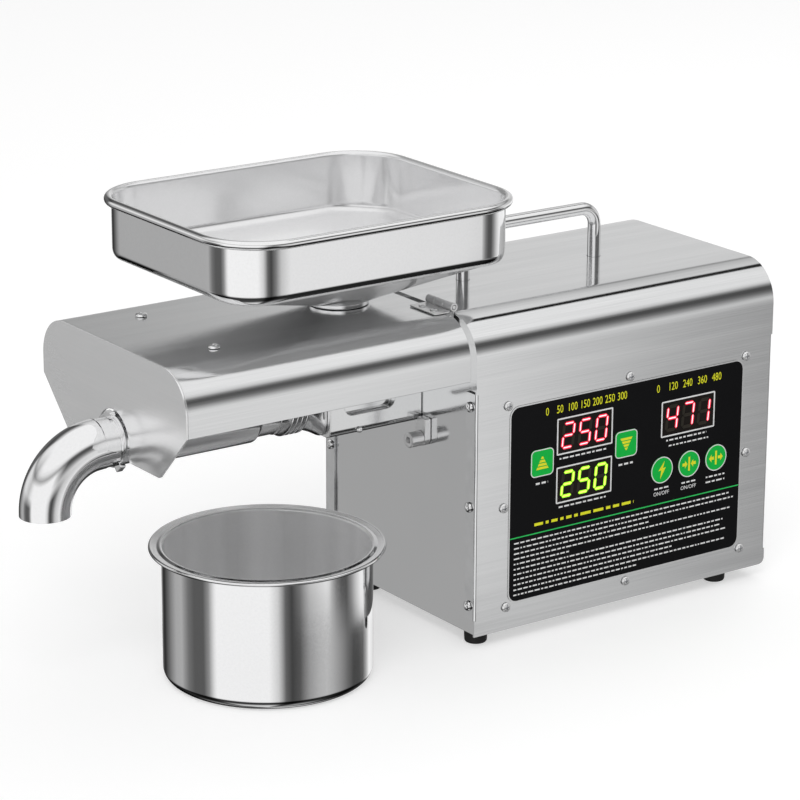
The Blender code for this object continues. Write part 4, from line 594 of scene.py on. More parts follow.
def cover_skin():
    """The cover's outer face: one sheet bent over both long edges, with flanges turned in at both ends."""
    shape = bmesh.new()
    heights = [FOOT_HEIGHT + REAR_CORNER * (1 - math.cos(math.radians(t))) for t in (0, 22.5, 45, 67.5, 90)]
    heights += [FLANGE_LOW, FLANGE_HIGH]
    crown = arc((EDGE_RADIUS - SIDE, TOP - EDGE_RADIUS), EDGE_RADIUS, 180, 90, 18)
    crown += arc((SIDE - EDGE_RADIUS, TOP - EDGE_RADIUS), EDGE_RADIUS, 90, 0, 18)
    section = [(-SIDE, z) for z in heights] + crown + [(SIDE, z) for z in reversed(heights)]

    # The sheet's lower rear corners are rounded
    columns = []
    for y, z in section:
        below = max(0.0, REAR_CORNER - (z - FOOT_HEIGHT))
        rear = LENGTH - REAR_CORNER + math.sqrt(REAR_CORNER ** 2 - below ** 2)
        columns.append([shape.verts.new((x, y, z)) for x in (0, FLANGE_BEND, rear - FLANGE_BEND, rear)])
    for (y, z), (next_y, next_z), first, second in zip(section, section[1:], columns, columns[1:]):
        flanged = abs(y) == SIDE and y == next_y and {z, next_z} == {FLANGE_LOW, FLANGE_HIGH}
        strips = [(1, 2)] if flanged else [(0, 1), (1, 2), (2, 3)]
        for a, b in strips:
            shape.faces.new((first[a], first[b], second[b], second[a]))
        if not flanged:
            continue
        for start, edge, out in ((1, FLANGE_BEND, -1), (2, LENGTH - FLANGE_BEND, 1)):
            before = (first[start], second[start])
            bend = [(FLANGE_BEND * math.sin(t), FLANGE_BEND * (1 - math.cos(t)))
                    for t in (math.radians(15 * k) for k in range(1, 7))]
            for reach, across in bend + [(FLANGE_BEND, FLANGE_WIDTH)]:
                place = (edge + out * reach, y - math.copysign(across, y))
                after = tuple(shape.verts.new((*place, height)) for height in (z, next_z))
                shape.faces.new((before[0], before[1], after[1], after[0]))
                before = after
    aim_skin(shape, lambda face: -face.calc_center_median().z, (0, 0, 1))
    return shape


def housing():
    opening = rounded(PANEL_MIDDLE.xz, PANEL_HALF_X + GAP, PANEL_HALF_Z + GAP, PANEL_CORNER + GAP)
    cuts = [prism(opening, "Y", -SIDE - SHEET, -SIDE + 2 * SHEET)]
    handle_low, handle_high = corners("carry_handle")
    rod = handle_high.y
    for x in (handle_low.x + rod, handle_high.x - rod):
        cuts.append(prism(circle((x, 0), rod + GAP, 32), "Z", TOP - 2 * SHEET, TOP + SHEET))
    piece("cover_sheet", cover_skin(), "brushed", ["housing_cover"], cuts, thickness=-SHEET)

    inside = arch(SIDE, TOP, FOOT_HEIGHT + GAP, EDGE_RADIUS, SHEET + GAP)
    shaft_hole = prism(circle((0, AXIS), SHAFT_HOLE, 48), "X", 0, PLATE_BACK + SHEET)
    piece("front_sheet", prism(inside, "X", PLATE_FRONT, PLATE_BACK), "plate", ["front_plate"], [shaft_hole],
          0.0002)
    flange_screws("front_flange_screws", -GAP, -1)
    rear_panel(inside)
    for name in ("foot_front_near", "foot_front_far", "foot_rear_near", "foot_rear_far"):
        foot(name)
    handle(handle_low, handle_high, rod)


def rear_panel(outline):
    """The rear sheet with its slotted grille and the openings for the inlet and the switch."""
    fan_low, fan_high = corners("fan_frame")
    fan = middle("fan_frame")
    frame_wall, slot_margin, half_slot, count = 0.0025, 0.003, 0.002, 7
    bore = (fan_high.z - fan_low.z) / 2 - frame_wall
    openings = []
    for k in range(count):
        y = (k - (count - 1) / 2) * (fan_high.y - fan_low.y) / (count + 2)
        reach = math.sqrt(bore ** 2 - y ** 2) - slot_margin
        openings.append(rounded((fan.y + y, fan.z), half_slot, reach, half_slot * 0.999))
    for node, less_y, less_z in (("power_inlet", 0.0112, 0.0016), ("switch_frame", 0.0008, 0.0009)):
        low, high = corners(node)
        centre = ((low.y + high.y) / 2, (low.z + high.z) / 2)
        half_y, half_z = (high.y - low.y) / 2 - less_y, (high.z - low.z) / 2 - less_z
        openings.append(rounded(centre, half_y, half_z, 0.001))
    cuts = [prism(opening, "X", REAR_PLATE - SHEET, LENGTH + SHEET) for opening in openings]
    sheet = prism(outline, "X", REAR_PLATE, LENGTH - SHEET - GAP)
    piece("rear_sheet", sheet, "rear", ["rear_panel"], cuts, 0.0002)
    flange_screws("rear_flange_screws", LENGTH + GAP, 1)


def foot(name):
    """A rubber foot with a hollow underneath and a stem that goes through the base."""
    low, high = corners(name)
    radius, stem, top, hollow = (high.x - low.x) / 2, 0.0022, FOOT_HEIGHT - GAP, 0.0012
    profile = [(0, hollow), (radius * 0.45, hollow), (radius * 0.5, 0), (radius - 0.0008, 0)]
    profile += [(radius - 0.0002, 0.001), (radius, top * 0.75), (radius, top), (stem, top), (stem, high.z)]
    profile.append((0, high.z))
    piece(f"rubber_{name}", turned("Z", middle(name).xy, softened(profile, 0.0006)), "rubber", [name])


def handle(low, high, rod):
    front, rear, top = low.x + rod, high.x - rod, high.z - rod
    bend, straight = 0.011, TOP + 0.004
    path = [(front, low.z), (front, TOP), (front, straight)]
    path += arc((front + bend, top - bend), bend, 180, 90, 16)
    path += arc((rear - bend, top - bend), bend, 90, 0, 16)
    path += [(rear, straight), (rear, TOP), (rear, low.z)]
    piece("handle_rod", loft(swept(path, rod, 40)), "polished", ["carry_handle"])


# Control panel


def panel_box(node):
    """A display's or key's middle and half sizes on the panel's face."""
    low, high = corners(node)
    centre = ((low.x + high.x) / 2, (low.z + high.z) / 2)
    return centre, (high.x - low.x) / 2, (high.z - low.z) / 2


def mark(outline, depth=PRINT, base=PANEL_FACE):
    """A thin printed shape on the panel's face."""
    return prism(outline, "Y", base - depth, base)


def line_mark(outer, inner, depth=PRINT, base=PANEL_FACE):
    """A printed line between two outlines."""
    sections = ((outer, base), (outer, base - depth), (inner, base - depth), (inner, base))
    return loft([level(outline, "Y", y) for outline, y in sections], closed=True)


def frame_mark(centre, half_a, half_b, radius, width, depth=PRINT, base=PANEL_FACE):
    """A printed line around a rounded rectangle."""
    inner = rounded(centre, half_a - width, half_b - width, max(radius - width, 0.0001), 5)
    return line_mark(rounded(centre, half_a, half_b, radius, 5), inner, depth, base)


def words(text, centre, height, narrow=1.0):
    """Plain figures as a thin solid on the panel's face."""
    curve = configure(bpy.data.curves.new("figures", "FONT"), body=text, size=height, align_x="CENTER",
                      align_y="CENTER", extrude=PRINT / 2, resolution_u=3)
    written = stand("figures", curve, (0, 0, 0))
    mesh = evaluated(written)
    shape = bmesh.new()
    shape.from_mesh(mesh)
    bmesh.ops.remove_doubles(shape, verts=shape.verts, dist=1e-7)
    bpy.data.meshes.remove(mesh)
    bpy.data.objects.remove(written)
    bpy.data.curves.remove(curve)
    upright = Matrix.Rotation(math.radians(90), 4, "X")
    narrowed = Matrix.Diagonal((narrow, 1, 1, 1))
    shape.transform(Matrix.Translation((centre[0], PANEL_FACE - PRINT / 2, centre[1])) @ upright @ narrowed)
    return shape


# The seven bars of a digit from end to end, in shares of its half sizes, and the bars that each figure lights
BARS = {
    "a": ((-1, 1), (1, 1)), "g": ((-1, 0), (1, 0)), "d": ((-1, -1), (1, -1)), "b": ((1, 0), (1, 1)),
    "c": ((1, -1), (1, 0)), "f": ((-1, 0), (-1, 1)), "e": ((-1, -1), (-1, 0)),
}
SEGMENTS = {"0": "abcdef", "1": "bc", "2": "abged", "4": "fgbc", "5": "afgcd", "7": "abc"}


def digit_segments(centre, half_w, half_h, width, lean):
    """The outlines of a digit's seven bars, pointed at both ends."""
    half, gap = width / 2, width * 0.12
    bars = {}
    for key, ends in BARS.items():
        first, last = (Vector((half_w * a, half_h * b)) for a, b in ends)
        along = (last - first).normalized()
        side = Vector((along.y, -along.x))
        first, last = first + along * gap, last - along * gap
        bar = (first, first + half * (along + side), last - half * (along - side), last,
               last - half * (along + side), first + half * (along - side))
        bars[key] = [(centre[0] + a + lean * b, centre[1] + b) for a, b in bar]
    return bars


def display(name, figures, colour):
    """A window with a light frame line and three seven-bar digits, lit and unlit."""
    node = f"{name}_display"
    (x, z), half_a, half_b = panel_box(node)
    window = rounded((x, z), half_a, half_b, WINDOW_CORNER, 2)
    piece(f"{name}_window", prism(window, "Y", PANEL_FACE, corners(node)[1].y), "window", [node])
    margin, line_width, line_depth = 0.0002, 0.0009, 0.00012
    line = frame_mark((x, z), half_a + margin, half_b + margin, WINDOW_CORNER + margin, line_width,
                      line_depth)
    piece(f"{name}_frame", line, "white_print")
    bright, dim, cores = [], [], []
    pitch, half_w, half_h, lean = half_a * 0.60, half_a * 0.185, half_b * 0.66, 0.10
    stroke, core_stroke, core_share = half_b * 0.185, half_b * 0.085, 0.80
    bar_depth, core_depth = 0.00008, 0.00011
    for k, figure in enumerate(figures):
        centre = (x + (k - 1) * pitch, z)
        bars = digit_segments(centre, half_w, half_h, stroke, lean)
        thin = digit_segments(centre, half_w, half_h, core_stroke, lean)
        for key, outline in bars.items():
            on = key in SEGMENTS[figure]
            (bright if on else dim).append(mark(outline, bar_depth))
            if on:
                centre_point = tuple(sum(values) / len(outline) for values in zip(*thin[key]))
                core = [between(centre_point, point, core_share) for point in thin[key]]
                cores.append(mark(core, core_depth))
    piece(f"{name}_digits", bright, f"{colour}_light")
    piece(f"{name}_unlit", dim, "ghost")
    piece(f"{name}_digit_cores", cores, f"{colour}_core")


def dashes(low_x, high_x, z, height, seed, share=1.0):
    """A row of short printed dashes of uneven length, as small print reads from afar."""
    marks = []
    x = low_x
    step = seed
    while x < low_x + (high_x - low_x) * share:
        step = (step * 73 + 41) % 101
        end = min(x + height * (1.2 + 3.4 * step / 101), high_x)
        marks.append(mark(rectangle(x, z - height / 2, end, z + height / 2)))
        x = end + height * 1.15
    return marks


def key_icon(kind):
    """The outlines printed on a key, in shares of the icon's size."""
    if kind in ("up", "down"):
        sign = 1 if kind == "up" else -1
        base, half_base, slope = -0.9, 1.05, 1.05 / 1.95
        outlines = []
        for low in (base + 0.48 * k for k in range(4)):
            high = low + 0.34
            half_low, half_high = half_base - slope * (low - base), half_base - slope * (high - base)
            outlines.append([(-half_low, sign * low), (half_low, sign * low), (half_high, sign * high),
                             (-half_high, sign * high)])
        return outlines
    if kind == "bolt":
        return [[(0.34, 1.0), (-0.50, -0.06), (-0.10, 0.00), (-0.24, -1.0), (0.52, 0.26), (0.12, 0.20)]]
    tip, tail = (0.24, 0.95) if kind == "in" else (0.98, 0.28)
    head, wing, shaft = tip + (0.34 if kind == "in" else -0.34), 0.44, 0.17
    arrow = [(tip, 0), (head, wing), (head, shaft), (tail, shaft)]
    arrow += [(a, -b) for a, b in arrow[:0:-1]]
    return [rectangle(-0.12, -0.80, 0.12, 0.80)] + [[(sign * a, b) for a, b in arrow] for sign in (-1, 1)]


def key(name, kind, is_round):
    (x, z), half, _ = panel_box(name)
    low, high = corners(name)
    face = low.y
    if is_round:
        stem = 0.0025
        profile = [(0, high.y), (stem, high.y), (stem, KEY_BACK), (half, KEY_BACK), (half, face + 0.0001),
                   (half - 0.0003, face), (0, face)]
        cap = turned("Y", (x, z), softened(profile, 0.0001, 2))
        rim = line_mark(circle((x, z), half, 48), circle((x, z), half - KEY_LINE, 48), base=face)
    else:
        cap = loft([level(rounded((x, z), half - inset, half - inset, KEY_CORNER - inset, 6), "Y", y)
                    for y, inset in ((KEY_BACK, 0), (face + 0.00015, 0), (face, 0.0002))])
        rim = frame_mark((x, z), half, half, KEY_CORNER, KEY_LINE, base=face)
    piece(f"{name}_cap", cap, "green", [name], body=name)
    piece(f"{name}_rim", rim, "white_print", body=name)
    size = half * (0.66 if is_round else 0.52)
    icon = [mark([(x + size * a, z + size * b) for a, b in outline], base=face) for outline in key_icon(kind)]
    piece(f"{name}_icon", icon, "yellow_print", body=name)


def control_panel():
    centre = PANEL_MIDDLE.xz
    openings = []
    for name in DISPLAYS:
        place, half_a, half_b = panel_box(f"{name}_display")
        openings.append(rounded(place, half_a + GAP / 2, half_b + GAP / 2, WINDOW_CORNER, 2))
    for name, (_, is_round) in KEYS.items():
        place, half, _ = panel_box(name)
        reach = half + GAP
        square = rounded(place, reach, reach, KEY_CORNER + GAP, 6)
        openings.append(circle(place, reach, 48) if is_round else square)
    cuts = [prism(opening, "Y", PANEL_FACE - SHEET, PANEL_HIGH.y + SHEET) for opening in openings]
    face = prism(rounded(centre, PANEL_HALF_X, PANEL_HALF_Z, PANEL_CORNER, 10), "Y", PANEL_FACE, PANEL_HIGH.y)
    piece("panel_face", face, "panel", ["control_panel"], cuts)
    border = frame_mark(centre, PANEL_HALF_X + PANEL_BORDER, PANEL_HALF_Z + PANEL_BORDER,
                        PANEL_CORNER + PANEL_BORDER, PANEL_BORDER + 0.0002, 0.0001)
    piece("panel_border", border, "satin")
    for name, (figures, colour) in DISPLAYS.items():
        display(name, figures, colour)
    for name, (kind, is_round) in KEYS.items():
        key(name, kind, is_round)
    printed_marks()

    # The screws stand around the panel, at its corners and at the middles of its sides
    corner_x, corner_z = PANEL_HALF_X + SCREW_CORNER, PANEL_HALF_Z + SCREW_CORNER
    offsets = [(a * corner_x, b * corner_z) for a in (-1, 1) for b in (-1, 1)]
    offsets += [(0, b * (PANEL_HALF_Z + SCREW_SIDE)) for b in (-1, 1)]
    offsets += [(a * (PANEL_HALF_X + SCREW_SIDE), 0) for a in (-1, 1)]
    seats = [(centre[0] + a, -SIDE - GAP, centre[1] + b) for a, b in offsets]
    screw_heads("panel_screws", seats, (0, -1, 0), PANEL_SCREW, SCREW_PROUD, finish="pale")


def printed_marks():
    """Plain figures over the displays, and dashes where small print stands."""
    yellow = []
    figure_height, narrow = 0.0070, 0.72
    for node, figures, start, pitch, above in (
        ("current_display", ("0", "50", "100", "150", "200", "250", "300"), -0.0285, 0.0094, 0.0058),
        ("timer_display", ("0", "120", "240", "360", "480"), -0.0240, 0.0115, 0.0088),
    ):
        (x, z), _, half_v = panel_box(node)
        for k, figure in enumerate(figures):
            yellow.append(words(figure, (x + start + pitch * k, z + half_v + above), figure_height, narrow))
    rule_z = PANEL_LOW.z + 0.0400
    yellow += dashes(PANEL_LOW.x + 0.0185, PANEL_LOW.x + 0.094, rule_z + 0.0055, 0.0018, 17)
    piece("yellow_marks", yellow, "yellow_print")

    white = []
    for node, share in (("current_display", 0.9), ("set_display", 0.9), ("timer_display", 0.8)):
        (x, z), half, half_v = panel_box(node)
        white += dashes(x - half * share, x + half * share * 0.9, z - half_v - 0.0026, 0.0010, len(white) + 5)
    white += dashes(x - half * 0.7, x + half * 0.8, z - half_v - 0.0062, 0.0009, 29)
    for node, reach, below, height, seed in (
        ("raise_button", 0.0045, 0.0042, 0.0012, 11), ("lower_button", 0.0055, 0.0042, 0.0012, 11),
        ("power_button", 0.0055, 0.0032, 0.0010, 7), ("press_button", 0.0055, 0.0032, 0.0010, 7),
        ("reverse_button", 0.0075, 0.0032, 0.0010, 23), ("reverse_button", 0.0075, 0.0065, 0.0010, 24),
    ):
        (x, z), half, _ = panel_box(node)
        white += dashes(x - reach, x + reach, z - half - below, height, seed)
        if node in ("power_button", "press_button"):
            white.append(words("ON/OFF", (x, z - half - 0.0066), 0.0034))
    small_low, small_high = PANEL_LOW.z + 0.0040, rule_z - 0.0035
    shares = (0.98, 1.0, 0.60, 0.99, 0.24, 0.95, 0.93, 0.97, 0.72, 0.96, 0.55)
    for row, share in enumerate(shares):
        z = small_high - (small_high - small_low) * row / (len(shares) - 1)
        white += dashes(PANEL_LOW.x + 0.0036, PANEL_HIGH.x - 0.0045, z, 0.0009, 31 + 7 * row, share)
    piece("white_marks", white, "white_print")
    inset, half_line = 0.0004, 0.00035
    rule = rectangle(PANEL_LOW.x + inset, rule_z - half_line, PANEL_HIGH.x - inset, rule_z + half_line)
    piece("green_rule", mark(rule), "green_print")


# Hood


def hood():
    half = HOOD_HIGH.y
    outline = arch(half, TOP, HOOD_LOW.z, HOOD_RADIUS, 0, 18)
    section = outline + arch(half, TOP, HOOD_LOW.z, HOOD_RADIUS, SHEET, 18)[::-1]
    neck_hole = prism(circle((THROAT_X, 0), NECK_HOLE, 64), "Z", TOP - 2 * SHEET, TOP + SHEET)
    shell = prism(section, "X", HOOD_LOW.x - 0.0002, HOOD_HIGH.x)
    piece("hood_sheet", shell, "hood", ["hood_shell"], [neck_hole], 0.0002, "hood")

    # The end plate tapers below the hood and is cut out around the spout
    low, high = corners("hood_end_plate")
    flat, drop, notch = 0.050, 0.005, 0.0172
    lean = math.degrees(math.atan2(half - flat, HOOD_LOW.z - low.z))
    corner_y = flat - drop * math.tan(math.radians((90 - lean) / 2))
    plate = outline + arc((-corner_y, low.z + drop), drop, 180 + lean, 270, 8)
    plate += [(-notch, low.z)] + arc((0, AXIS), notch, 180, 0, 32) + [(notch, low.z)]
    plate += arc((corner_y, low.z + drop), drop, 270, 360 - lean, 8)
    # Its finish is paler and less metallic than the other steel: painted light
    piece("hood_end_sheet", prism(plate, "X", low.x, high.x), "end_plate_painted_light", ["hood_end_plate"],
          bevel=0.00012, body="hood")
    for side in ("near", "far"):
        node = f"hood_screw_{side}"
        low, high = corners(node)
        centre = middle(node).xy
        head = screw_head((*centre, TOP + GAP), (0, 0, 1), HOOD_SCREW, high.z - TOP - GAP)
        shank = prism(circle(centre, HOOD_SCREW_SHANK, 16), "Z", low.z, TOP)
        piece(f"dome_screw_{side}", [head, shank], "chrome", [node], body="hood")


def hinges():
    """Two butt hinges: two knuckles and a screwed leaf on the hood, a knuckle and the pin on the housing."""
    for side in ("near", "far"):
        fixed, moving = f"hinge_fixed_{side}", f"hinge_leaf_{side}"
        low, high = corners(moving)
        fixed_low, fixed_high = corners(fixed)
        axis = (0, fixed_high.z - HINGE_BARREL)
        start = low.y if low.y < 0 else low.y + HINGE_SHORTER
        end = high.y if low.y > 0 else high.y - HINGE_SHORTER
        third = (end - start) / 3
        seat = TOP + GAP

        def knuckle(bore, begin, stop):
            profile = [(bore, begin), (HINGE_BARREL, begin), (HINGE_BARREL, stop), (bore, stop)]
            return sleeve("Y", axis, profile, 0.0003, 32)

        shapes = [knuckle(HINGE_PIN + GAP, begin, begin + third) for begin in (start, end - third)]
        centre = ((low.x - HINGE_BARREL) / 2 - GAP, (start + end) / 2)
        leaf = rounded(centre, (-HINGE_BARREL - low.x) / 2 + GAP, (end - start) / 2, 0.0015, 5)
        shapes.append(prism(leaf, "Z", seat, seat + HINGE_SHEET))
        piece(f"hinge_hood_{side}", shapes, "pale", [moving], bevel=0.00015, body="hood")
        screw_x, top, head, head_height = low.x + 0.0042, seat + HINGE_SHEET, 0.0024, 0.0007
        places = [(screw_x, start + (end - start) * share, top) for share in (0.28, 0.72)]
        screw_heads(f"hinge_screws_{side}", places, (0, 0, 1), head, head_height, body="hood")

        inner_low, inner_high = start + third + GAP, end - third - GAP
        pin = softened([(0, start), (HINGE_PIN, start), (HINGE_PIN, end), (0, end)], 0.0003)
        leaf_front, leaf_top = -GAP - HINGE_SHEET, axis[1] - HINGE_BARREL - GAP
        plate = prism(rectangle(leaf_front, start, -GAP, end), "Z", fixed_low.z, leaf_top)
        web = rectangle(leaf_front, inner_low, -GAP, inner_high)
        web = prism(web, "Z", leaf_top - GAP, axis[1] - HINGE_PIN)
        shapes = [knuckle(HINGE_PIN - GAP, inner_low, inner_high), turned("Y", axis, pin, 24), plate, web]
        piece(f"hinge_housing_{side}", shapes, "pale", [fixed])


# Press


def feed_block():
    half, edge_z = BLOCK_HIGH.y, BLOCK_LOW.z + BLOCK_EDGE
    outline = arc((BLOCK_EDGE - half, edge_z), BLOCK_EDGE, 180, 270, 10)
    outline += arc((half - BLOCK_EDGE, edge_z), BLOCK_EDGE, 270, 360, 10)
    outline += [(half, BLOCK_HIGH.z), (-half, BLOCK_HIGH.z)]
    slot_half_x, slot_half_z, slot_corner, slot_depth = 0.018, 0.014, 0.006, 0.004
    slot_centre = (THROAT_X + 0.007, BLOCK_LOW.z + 0.0264)
    slot = rounded(slot_centre, slot_half_x, slot_half_z, slot_corner, 10)
    throat, throat_low = 0.0165, AXIS + 0.0340
    cuts = [
        prism(circle((0, AXIS), BORE, 64), "X", BLOCK_LOW.x - SHEET, BLOCK_HIGH.x + SHEET),
        prism(slot, "Y", -half - SHEET, slot_depth - half),
        prism(circle((THROAT_X, 0), throat, 64), "Z", throat_low, BLOCK_HIGH.z + SHEET),
    ]
    piece("block_body", prism(outline, "X", BLOCK_LOW.x, BLOCK_HIGH.x), "satin", ["feed_block"], cuts, 0.0005)
    bolt, bolt_radius, bolt_height = (THROAT_X - 0.0009, -half - 0.0001, BLOCK_LOW.z + 0.0028), 0.0019, 0.0012
    piece("block_bolt", screw_head(bolt, (0, -1, 0), bolt_radius, bolt_height, "hex"), "chrome")


def press_barrel():
    """The finned barrel with its flared mouth, the heater sleeve around it and the cake nozzle in its end."""
    axis = (0, AXIS)
    low, high = corners("press_barrel")
    neck, tube, fin, flare = 0.0157, 0.0165, 0.0180, 0.0192
    lip, end, heater_start = high.x - 0.0016, high.x - 0.0092, -0.1064

    def ring(x, size, square=0.0, tilt=0.0):
        """A loop around the axis that is round, or with square at 1 a rounded square."""
        loop = []
        for a, b in circle((0, 0), 1, 96):
            corner = 1 / (abs(a) ** 5 + abs(b) ** 5) ** 0.2
            reach = size * (1 + (min(corner, 1.30) - 1) * square)
            loop.append((x + tilt * reach * b, reach * a, AXIS + reach * b))
        return loop

    loops = [ring(high.x, BORE), ring(high.x, flare, 1), ring(lip, flare, 1)]
    for share in (k / 8 for k in range(1, 9)):
        size = flare + (neck + 0.0008 - flare) * share ** 0.8
        loops.append(ring(lip + (end - lip) * share, size, 1 - share))
    pitch, lean = 0.0033, 0.10
    fin_profile = ((0, neck), (0.0006, neck), (0.0010, fin - 0.0007), (0.0015, fin), (0.0021, fin),
                   (0.0026, fin - 0.0007), (0.0030, neck))
    for k in range(4):
        x = end - pitch * k - 0.0004
        loops += [ring(x - place, size, 0, lean) for place, size in fin_profile]
    seam = end - 4 * pitch - 0.0052
    for x, size in ((0.0004, neck), (0, neck + 0.0005), (-0.0010, neck + 0.0005), (-0.0014, neck)):
        loops.append(ring(seam + x, size))
    hidden = tube - 0.0002
    for x, size in ((heater_start, neck), (heater_start - 0.0004, hidden), (low.x, hidden), (low.x, BORE)):
        loops.append(ring(x, size))
    piece("barrel_body", loft(loops, closed=True), "satin", ["press_barrel"])

    low, high = corners("heater_sleeve")
    heater = 0.0181
    profile = [(tube, heater_start), (heater - 0.0020, heater_start), (heater, heater_start - 0.0026),
               (heater, low.x + 0.001), (heater - 0.001, low.x), (tube, low.x)]
    piece("heater_body", sleeve("X", axis, profile, 0.0006), "satin", ["heater_sleeve"])
    low, high = corners("cake_nozzle")
    outer, mouth = 0.0155, 0.0115
    profile = [(BORE, high.x), (outer, high.x), (outer, low.x), (mouth, low.x), (mouth, low.x + 0.01),
               (BORE, high.x - 0.004)]
    piece("nozzle_body", sleeve("X", axis, profile, 0.0004), "polished", ["cake_nozzle"])


def spout():
    """The collar with its sleeve and two ears, and the bent outlet pipe."""
    height = AXIS - 0.0013
    pipe, inner, outer, ring, mouth = 0.01475, 0.01355, 0.0142, 0.0151, 0.0118
    face, ring_end, seam = -0.1967, -0.1990, -0.2083
    profile = [(mouth, face), (ring, face), (ring, ring_end), (outer, ring_end), (outer, seam),
               (inner - 0.0002, seam), (inner - 0.0002, seam - 0.002), (mouth, seam - 0.002)]
    shapes = [sleeve("X", (0, height), profile, 0.0003, 128)]
    ear = rounded((0.0162, 0), 0.0019, 0.0034, 0.0011, 6)
    for angle in (92, 228):
        cos, sin = math.cos(math.radians(angle)), math.sin(math.radians(angle))
        turned_ear = [(a * cos - b * sin, height + a * sin + b * cos) for a, b in ear]
        shapes.append(prism(turned_ear, "X", face - 0.0002, ring_end - 0.0014))
    piece("collar_body", shapes, "polished", ["spout_collar"], bevel=0.00025)

    low = corners("spout_elbow")[0]
    bend = 0.034
    bend_x = low.x + pipe + bend
    path = [(seam - 0.0002, height), (bend_x, height)]
    path += arc((bend_x, height - bend), bend, 90, 180, 40)[1:]
    path.append((bend_x - bend, low.z + 0.005))
    walls = swept(path, pipe, 128) + swept(path, inner, 128)[::-1]
    piece("elbow_pipe", loft(walls, closed=True), "polished", ["spout_elbow"], bevel=0.0002)


def latch():
    """A plate with a rounded lower end that swings on a socket-head screw."""
    low, high = corners("block_latch")
    centre, radius, slope_y, slope_z, thicker = (-0.027, 0.119), 0.0048, 0.002, 0.005, 0.0012
    side = centre[0] + radius
    outline = arc(centre, radius, 180, 360, 20)
    outline += [(side, high.z - slope_z), (side - slope_y, high.z), (low.y, high.z)]
    plate = prism(softened(outline, 0.0006, 3, True), "X", low.x - thicker, high.x)
    piece("latch_plate", plate, "pale", ["block_latch"], bevel=0.0003, body="block_latch")
    face, seat = -0.0118, low.x - 0.0014
    head = ((0.0046, seat), (0.0046, face + 0.0006), (0.0044, face + 0.0002), (0.0040, face), (0.0024, face))
    loops = [level(circle(centre, size, 48), "X", x) for size, x in head]
    loops += [level(recess("hex", 0.0019, centre), "X", face + depth) for depth in (0.0002, 0.0032)]
    piece("latch_bolt", loft(loops), "pale", ["latch_screw"])


# Hopper and cup


def hopper():
    """The tray with its rolled rim and creased funnel, and the neck under it."""
    half_x = (TRAY_HIGH.x - TRAY_LOW.x) / 2 - 2 * RIM
    half_y = (TRAY_HIGH.y - TRAY_LOW.y) / 2 - 2 * RIM
    centre = (TRAY_MIDDLE.x, 0)
    rim_z = TRAY_HIGH.z - RIM
    floor, bend, neck_z = 0.238, 0.007, TOP + 0.0030
    steps, spans = 20, 10

    def outline(out, radius):
        """The tray's inner outline, moved out, with straight sides split so that the funnel runs smoothly."""
        points = rounded(centre, half_x + out, half_y + out, radius, steps)
        split = []
        for i, point in enumerate(points):
            split.append(point)
            if i % (steps + 1) == steps:
                after = points[(i + 1) % len(points)]
                split += [between(point, after, k / spans) for k in range(1, spans)]
        return split

    wall = TRAY_CORNER - 2 * RIM
    loops = []
    for t in (math.radians(angle) for angle in range(-105, 181, 15)):
        out = RIM + RIM * math.cos(t)
        loops.append(level(outline(out, wall + out), "Z", rim_z + RIM * math.sin(t)))
    upper = outline(0, wall)
    lower = outline(-bend, wall - 0.017)
    bend_z, shoulder = floor + bend * 0.2, floor - 0.0045
    loops += [level(upper, "Z", rim_z - (rim_z - bend_z) * share) for share in (0.35, 0.7, 1.0)]
    for t in (math.radians(angle) for angle in range(15, 91, 15)):
        edge = [between(a, b, 1 - math.cos(t)) for a, b in zip(upper, lower)]
        loops.append(level(edge, "Z", bend_z - (bend_z - shoulder) * math.sin(t)))
    throat = 0.0168
    directions = [math.atan2(y, x - THROAT_X) for x, y in lower]
    rim = [(THROAT_X + throat * math.cos(t), throat * math.sin(t)) for t in directions]
    for share in (k / 18 for k in range(1, 19)):
        edge = [between(a, b, share) for a, b in zip(lower, rim)]
        loops.append(level(edge, "Z", shoulder + (neck_z - shoulder) * share ** 1.04))
    skin = loft(loops, ends=False)
    aim_skin(skin, lambda face: abs(face.calc_center_median().z - floor - bend), (*centre, floor + bend))
    piece("tray_sheet", skin, "tray", ["hopper_tray"], body="hopper", sharp=50, thickness=-TRAY_SHEET)

    bore, outer, lip = 0.0150, 0.0160, 0.0182
    lip_top, lip_low, low_z = TOP + 0.0029, TOP + 0.0003, corners("hopper_neck")[0].z
    profile = [(bore, lip_top), (lip, lip_top), (lip, lip_low), (outer, lip_low)]
    profile += [(outer, low_z), (bore, low_z)]
    neck = sleeve("Z", (THROAT_X, 0), profile, 0.0005)
    piece("neck_sleeve", neck, "polished", ["hopper_neck"], body="hopper")


